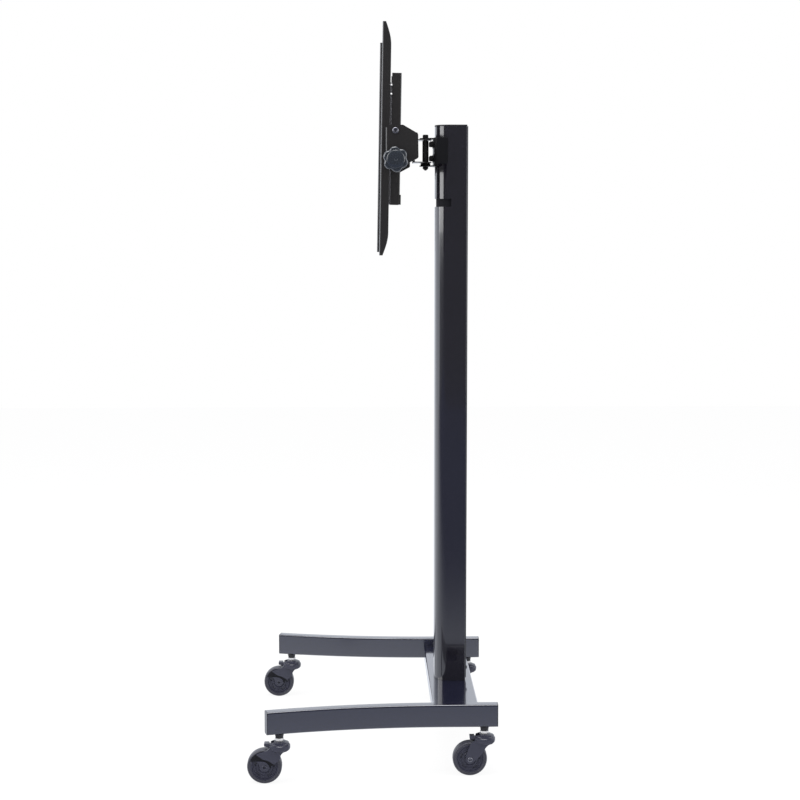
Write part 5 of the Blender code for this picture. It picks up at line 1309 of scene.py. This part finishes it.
rail = prism([rail_outline], RAIL_BOTTOM_Z - RAIL_MARGIN, RAIL_TOP_Z + RAIL_MARGIN, ALONG_Z)
reach = RAIL_HALF_X + RAIL_MARGIN
rail = changed(rail, "INTERSECT", prism([rail_side], RAIL_X - reach, RAIL_X + reach, ALONG_X))
rail_slots = []
RAIL_SLOT_LENGTH = 0.30 * (RAIL_TOP_Z - RAIL_BOTTOM_Z)
RAIL_SLOT_END = 0.039
RAIL_SLOT_WIDTH = 0.009
RAIL_SLOT_CORNER = 0.00445
slot_outline = section(RAIL_SLOT_WIDTH, RAIL_SLOT_LENGTH, RAIL_SLOT_CORNER, 8)
slot_reach = RAIL_SLOT_END + RAIL_SLOT_LENGTH / 2.0
low, high = RAIL_FRONT_Y - RAIL_MARGIN, RAIL_FRONT_Y + RAIL_SHEET + RAIL_MARGIN
for centre_z in (RAIL_BOTTOM_Z + slot_reach, RAIL_TOP_Z - slot_reach):
    cutter = prism([slot_outline], low, high, ALONG_Y)
    cutter.data.transform(Matrix.Translation((RAIL_X, 0.0, centre_z)))
    rail_slots.append(cutter)
rail = changed(rail, "DIFFERENCE", *rail_slots)
pair(
    "rail_channel_{}", rail.data, (TILT,), HEAD_COAT, "screen_rail_{}",
    "rail_{}", "head_paint", edge=0.0003,
)


# Rail clamps: black plated hooks of thick sheet inside the rails. Each holds its rail by reaching
# over the beam's top and under its foot.
CLAMP_SHEET = 0.003
CLAMP_HALF_X = 0.0115
CLAMP_STEP = 0.012
CLAMP_LIP = 0.010
clamp_front = RAIL_FRONT_Y + RAIL_SHEET + GAP
clamp_low = BEAM_BOTTOM_Z - GAP
clamp_high = BEAM_TOP_Z + GAP
clamp_face = BEAM_FRONT_Y - GAP
clamp_lip = BEAM_FRONT_Y + CLAMP_LIP
clamp_outline = [
    (clamp_front, clamp_low - CLAMP_SHEET),
    (clamp_lip, clamp_low - CLAMP_SHEET),
    (clamp_lip, clamp_low),
    (clamp_face, clamp_low),
    (clamp_face, clamp_low + CLAMP_STEP),
    (clamp_front + CLAMP_SHEET, clamp_low + CLAMP_STEP),
    (clamp_front + CLAMP_SHEET, clamp_high - CLAMP_STEP),
    (clamp_face, clamp_high - CLAMP_STEP),
    (clamp_face, clamp_high),
    (clamp_lip, clamp_high),
    (clamp_lip, clamp_high + CLAMP_SHEET),
    (clamp_front, clamp_high + CLAMP_SHEET),
]
clamp = prism([clamp_outline], RAIL_X - CLAMP_HALF_X, RAIL_X + CLAMP_HALF_X, ALONG_X)
pair(
    "clamp_{}", clamp.data, (TILT,), BLACK_STEEL, "screen_rail_{}",
    "rail_clamp_{}", "black_steel", edge=0.0004,
)


# Caster stems: threaded steel studs, each held by a nut inside the leg, with a bright plated washer
# on the fork's head and a tapered moulded collar under the leg.
CORNERS = ("front_right", "front_left", "rear_right", "rear_left")
TRAIL = 0.032
WHEEL_RADIUS = 0.0375
LEG_BOTTOM_Z = leg_low[2]
collar = turned(
    [
        (0.0056, LEG_BOTTOM_Z - GAP), (0.0092, LEG_BOTTOM_Z - GAP),
        (0.0096, LEG_BOTTOM_Z - GAP - 0.0006),
        (0.0096, 0.1062), (0.0084, 0.1000), (0.0080, 0.0988), (0.0056, 0.0988),
    ],
    closed=True,
).data
spindle = turned(
    [
        (0.0, LEG_BOTTOM_Z + 0.030), (0.0044, LEG_BOTTOM_Z + 0.030),
        (0.0050, LEG_BOTTOM_Z + 0.0290), (0.0050, LEG_BOTTOM_Z + 0.0098),
        (0.0085, LEG_BOTTOM_Z + 0.0098), (0.0085, LEG_BOTTOM_Z + 0.0023),
        (0.0050, LEG_BOTTOM_Z + 0.0023), (0.0050, 0.0985), (0.0094, 0.0985), (0.0098, 0.0980),
        (0.0098, 0.0952), (0.0090, 0.0940), (0.0072, 0.0936), (0.0070, 0.0920), (0.0050, 0.0920),
        (0.0050, 0.0745), (0.0, 0.0745),
    ]
).data


def at_stem(corner):
    """Moves a caster's piece from the origin to below its stem."""
    stem = middle_of("stem_" + corner)
    return Matrix.Translation((stem.x, stem.y, 0.0))


def at_axle(corner):
    """Moves a wheel's piece from the origin to its axle."""
    stem = middle_of("stem_" + corner)
    return Matrix.Translation((stem.x, stem.y - TRAIL, WHEEL_RADIUS))


for corner in CORNERS:
    mesh = moved(spindle, at_stem(corner))
    piece("spindle_" + corner, mesh, ZINC, "stand", ["stem_" + corner], "zinc")
    mesh = moved(collar, at_stem(corner))
    piece("collar_" + corner, mesh, TRIM_PLASTIC, "stand", (), "black_plastic")


# Caster forks: glossy moulded plastic, a round head on the stem with two plates down to the axle,
# hollowed for the wheel and the brake pedal. The front casters' plates are wide and have a wavy recess
# lined with a near-black sheet, a painted shadow under the plate's edge.
CASTER_PLASTIC = plastic(
    "caster_plastic", (0.036, 0.037, 0.056), roughness=0.10, grain=900.0, depth=0.00002
)
HEAD_TOP_Z = 0.0917
HEAD_BOTTOM_Z = 0.072
BOSS_RADIUS = 0.0095
BOSS_TURN = (-30.0, -190.0)
AXLE_HOLE = 0.0045
FORK_FACE = 0.0165
FORK_WALL = 0.003
PEDAL_PIN = (-0.0145, 0.0825)
WHEEL_ROOM = 0.002


def boss_arc(first, last, steps=16):
    """The fork's rounded end round the axle, as (y, z) points."""
    points = []
    for step in range(steps + 1):
        angle = math.radians(first + (last - first) * step / steps)
        y = -TRAIL + BOSS_RADIUS * math.cos(angle)
        points.append((y, WHEEL_RADIUS + BOSS_RADIUS * math.sin(angle)))
    return points


def smooth_line(points, steps=6):
    """A smooth line through points, its ends kept."""
    line = []
    ends = [points[0]] + list(points) + [points[-1]]
    for a, b, c, d in zip(ends, ends[1:], ends[2:], ends[3:]):
        for step in range(steps):
            t = step / steps
            spot = []
            for p, q, r, u in zip(a, b, c, d):
                slope = 2 * q + (r - p) * t
                bend = (2 * p - 5 * q + 4 * r - u) * t * t
                twist = (3 * q - p - 3 * r + u) * t**3
                spot.append((slope + bend + twist) / 2.0)
            line.append(tuple(spot))
    line.append(points[-1])
    return line


# The plates' rear and front edges as (y, z) from the stem's foot, narrow on the rear casters.
BEHIND_NARROW = [
    (0.0190, 0.0800), (0.0170, 0.0735), (0.0085, 0.0700), (0.0020, 0.0640), (-0.0010, 0.0580),
    (-0.0070, 0.0490), (-0.0160, 0.0395), (-0.0238, 0.0328),
]
AHEAD_NARROW = [
    (-0.0414, 0.0391), (-0.0395, 0.0500), (-0.0350, 0.0630), (-0.0300, 0.0740), (-0.0200, 0.0800),
]
BEHIND_WIDE = [
    (0.0190, 0.0800), (0.0170, 0.0735), (0.0085, 0.0700), (0.0035, 0.0640), (0.0020, 0.0570),
    (-0.0040, 0.0500), (-0.0120, 0.0440), (-0.0180, 0.0385), (-0.0238, 0.0328),
]
AHEAD_WIDE = [
    (-0.0414, 0.0391), (-0.0440, 0.0460), (-0.0480, 0.0505), (-0.0540, 0.0515), (-0.0610, 0.0505),
    (-0.0600, 0.0550), (-0.0560, 0.0605), (-0.0500, 0.0655), (-0.0430, 0.0690), (-0.0350, 0.0715),
    (-0.0260, 0.0750), (-0.0200, 0.0800),
]

# The wavy recess as (y, z) from the wheel's centre, its depth, and the thickness and lift of its
# painted-shadow sheet.
WAVE_UPPER = [
    (-0.0330, 0.0290), (-0.0270, 0.0310), (-0.0210, 0.0298), (-0.0140, 0.0260), (-0.0085, 0.0216),
    (-0.0040, 0.0184), (0.0039, 0.0160), (0.0110, 0.0130), (0.0175, 0.0088), (0.0230, 0.0052),
]
WAVE_LOWER = [
    (0.0200, -0.0090), (0.0116, -0.0010), (0.0084, 0.0062), (0.0020, 0.0114), (-0.0070, 0.0132),
    (-0.0140, 0.0134), (-0.0200, 0.0130), (-0.0330, 0.0110),
]
WAVE_DEPTH = 0.0014
WAVE_CLEAR = 0.004
SHADE_SHEET = 0.0003
SHADE_SHEET_LIFT = 0.0001


def fork_outline(behind, ahead):
    """A plate's outline: down its rear edge, round the boss and up its front edge."""
    return smooth_line(behind) + boss_arc(*BOSS_TURN)[1:-1] + smooth_line(ahead)


def wave_cuts(thickness, top):
    """The recess's shape in both plates, from the top given down through the thickness."""
    line = smooth_line(WAVE_UPPER) + smooth_line(WAVE_LOWER)
    line = [(y - TRAIL, z + WHEEL_RADIUS) for y, z in line]
    return [
        prism([line], top - thickness, top, ALONG_X),
        prism([line], -top, thickness - top, ALONG_X),
    ]


def fork(behind, ahead):
    """A moulded fork: a round head with two plates down to the axle, hollowed for the wheel."""
    outline = fork_outline(behind, ahead)
    head = turned(
        [
            (0.0056, HEAD_TOP_Z), (0.0125, HEAD_TOP_Z), (0.0135, HEAD_TOP_Z - 0.0012),
            (0.0165, HEAD_TOP_Z - 0.0016), (0.0205, HEAD_TOP_Z - 0.0034),
            (0.0212, HEAD_TOP_Z - 0.0050), (0.0205, HEAD_TOP_Z - 0.0062),
            (0.0214, HEAD_TOP_Z - 0.0072), (0.0232, HEAD_TOP_Z - 0.0082),
            (0.0235, HEAD_TOP_Z - 0.0100), (0.0235, HEAD_BOTTOM_Z + 0.0050),
            (0.0225, HEAD_BOTTOM_Z + 0.0020), (0.0205, HEAD_BOTTOM_Z), (0.0056, HEAD_BOTTOM_Z),
        ],
        steps=64, closed=True,
    )
    plates = []
    for low in (-FORK_FACE, FORK_FACE - FORK_WALL):
        plates.append(prism([outline], low, low + FORK_WALL, ALONG_X))
    made = changed(head, "UNION", *plates)
    centre = (-TRAIL, WHEEL_RADIUS)
    inside = FORK_FACE - FORK_WALL
    room = rod(centre, WHEEL_RADIUS + WHEEL_ROOM, -inside, inside, ALONG_X, 64)
    axle_hole = rod(centre, AXLE_HOLE, -2.0 * FORK_FACE, 2.0 * FORK_FACE, ALONG_X)
    pedal_slot = block((-0.0085, -0.030, 0.060), (0.0085, -0.0105, 0.100))
    pin_room = rod(PEDAL_PIN, 0.0018, -0.011, 0.011, ALONG_X, 16)
    return changed(made, "DIFFERENCE", room, axle_hole, pedal_slot, pin_room)


recess_floor = FORK_FACE - WAVE_DEPTH
wave = wave_cuts(WAVE_CLEAR, recess_floor + WAVE_CLEAR)
wide_fork = changed(fork(BEHIND_WIDE, AHEAD_WIDE), "DIFFERENCE", *wave)
FORKS = {"front": wide_fork.data, "rear": fork(BEHIND_NARROW, AHEAD_NARROW).data}
# The near-black sheets in the recesses paint the shadow under the plates' edges.
shade_sheets = []
for cut in wave_cuts(SHADE_SHEET, recess_floor + SHADE_SHEET_LIFT):
    sheet = prism([fork_outline(BEHIND_WIDE, AHEAD_WIDE)], -FORK_FACE, FORK_FACE, ALONG_X)
    axle_hole = rod((-TRAIL, WHEEL_RADIUS), AXLE_HOLE, -2.0 * FORK_FACE, 2.0 * FORK_FACE, ALONG_X)
    shade_sheets.append(changed(changed(sheet, "INTERSECT", cut), "DIFFERENCE", axle_hole))
wave_shade_sheet = changed(shade_sheets[0], "UNION", shade_sheets[1]).data
for corner in CORNERS:
    body = "caster_" + corner
    end = corner.split("_")[0]
    mesh = moved(FORKS[end], at_stem(corner))
    piece(
        "caster_fork_" + corner, mesh, CASTER_PLASTIC, body,
        ["fork_" + corner], "caster_plastic", edge=0.0006, segments=3, limit=35.0,
    )
    if end == "front":
        mesh = moved(wave_shade_sheet, at_stem(corner))
        piece("wave_shade_sheet_" + corner, mesh, SHADE_PLASTIC, body, (), "caster_plastic")


# Wheels: a soft tyre on a moulded centre disc with rings and five shallow pockets in each face.
# They turn on the axles.
TYRE_RUBBER = plastic(
    "tyre_rubber", (0.050, 0.050, 0.066), roughness=0.34, grain=1500.0, depth=0.00008
)
POCKETS = 5
POCKET_SWEEP = math.radians(28.0)
POCKET_OUTER = 0.0226
POCKET_INNER = 0.0182
POCKET_FLOOR = 0.0066
POCKET_STEPS = 12
DISC_HALF = 0.012


def mirrored_profile(half):
    """A profile down one side of a wheel and back up the other."""
    return half + [(radius, -x) for radius, x in reversed(half)]


tyre = turned(
    mirrored_profile(
        [
            (0.0302, 0.0112), (0.0314, 0.0120), (0.0326, 0.0118), (0.0332, 0.0110),
            (0.0340, 0.0118), (0.0349, 0.0120), (0.0362, 0.0110), (0.0372, 0.0092),
            (0.0375, 0.0065),
        ]
    ),
    steps=96, axes=ALONG_X, closed=True,
).data
centre_disc = turned(
    mirrored_profile(
        [
            (0.0045, 0.0128), (0.0098, 0.0128), (0.0105, 0.0122), (0.0112, 0.0098),
            (0.0126, 0.0092), (0.0136, 0.0104), (0.0148, 0.0106), (0.0160, 0.0092),
            (0.0178, 0.0090), (0.0190, 0.0104), (0.0202, 0.0106), (0.0214, 0.0092),
            (0.0232, 0.0090), (0.0244, 0.0106), (0.0256, 0.0108), (0.0268, 0.0096),
            (0.0278, 0.0114), (0.0290, 0.0118), (0.0300, 0.0112), (0.0300, 0.0100),
        ]
    ),
    steps=96, axes=ALONG_X, closed=True,
)
pockets = []
for number in range(POCKETS):
    start = math.tau * number / POCKETS
    turns = [start + POCKET_SWEEP * step / POCKET_STEPS for step in range(POCKET_STEPS + 1)]
    arc = [(POCKET_OUTER * math.cos(turn), POCKET_OUTER * math.sin(turn)) for turn in turns]
    turns.reverse()
    arc += [(POCKET_INNER * math.cos(turn), POCKET_INNER * math.sin(turn)) for turn in turns]
    for low, high in ((POCKET_FLOOR, DISC_HALF), (-DISC_HALF, -POCKET_FLOOR)):
        pockets.append(prism([arc], low, high, ALONG_X))
centre_disc = changed(centre_disc, "DIFFERENCE", *pockets).data
for corner in CORNERS:
    body = "wheel_body_" + corner
    mesh = moved(tyre, at_axle(corner))
    piece("tyre_" + corner, mesh, TYRE_RUBBER, body, ["wheel_" + corner], "tread")
    mesh = moved(centre_disc, at_axle(corner))
    piece("disc_" + corner, mesh, CASTER_PLASTIC, body, (), "caster_plastic", edge=0.0003)


# Axles: hollow steel rivets through the forks and the wheels, plated at the rear and capped in the
# caster's own plastic at the front.
rivet = turned(
    mirrored_profile(
        [
            (0.0, 0.0142), (0.0022, 0.0142), (0.0025, 0.0176), (0.0033, 0.0185), (0.0045, 0.0185),
            (0.0053, 0.0178), (0.0054, 0.0168), (0.0040, 0.0168),
        ]
    ),
    steps=40, axes=ALONG_X,
).data
for corner in CORNERS:
    mesh = moved(rivet, at_axle(corner))
    finish = BOLT_PLATE if corner.startswith("rear") else CASTER_PLASTIC
    piece("rivet_" + corner, mesh, finish, "caster_" + corner, ["axle_" + corner], "zinc")


# Brake pedals: moulded levers hinged in the forks' heads on a small pin, with three grooves across
# the toe. Pressed down, they bear on the tyre.
PEDAL_HALF_X = 0.008
GROOVES_Y = (-0.0305, -0.0275, -0.0245)
GROOVE_HALF = 0.0006
pedal_outline = rounded(
    [
        (-0.0120, 0.0848, 0.0012), (-0.0120, 0.0802, 0.0008), (-0.0240, 0.0802, 0.004),
        (-0.0325, 0.0812, 0.0008), (-0.0330, 0.0880, 0.0016), (-0.0215, 0.0880, 0.0016),
        (-0.0215, 0.0848, 0.0010),
    ]
)
pedal = prism([pedal_outline], -PEDAL_HALF_X, PEDAL_HALF_X, ALONG_X)
pedal = changed(pedal, "UNION", rod(PEDAL_PIN, 0.0015, -0.0105, 0.0105, ALONG_X, 16))
grooves = []
for y in GROOVES_Y:
    grooves.append(block((-0.007, y - GROOVE_HALF, 0.0876), (0.007, y + GROOVE_HALF, 0.0890)))
pedal = changed(pedal, "DIFFERENCE", *grooves).data
for corner in CORNERS:
    mesh = moved(pedal, at_stem(corner))
    piece(
        "pedal_" + corner, mesh, CASTER_PLASTIC, "brake_body_" + corner,
        ["brake_" + corner], "caster_plastic", edge=0.0003,
    )


# Clean-up: the working shapes are removed.
for obj in list(WORKSHOP.objects):
    bpy.data.objects.remove(obj, do_unlink=True)
bpy.data.collections.remove(WORKSHOP)
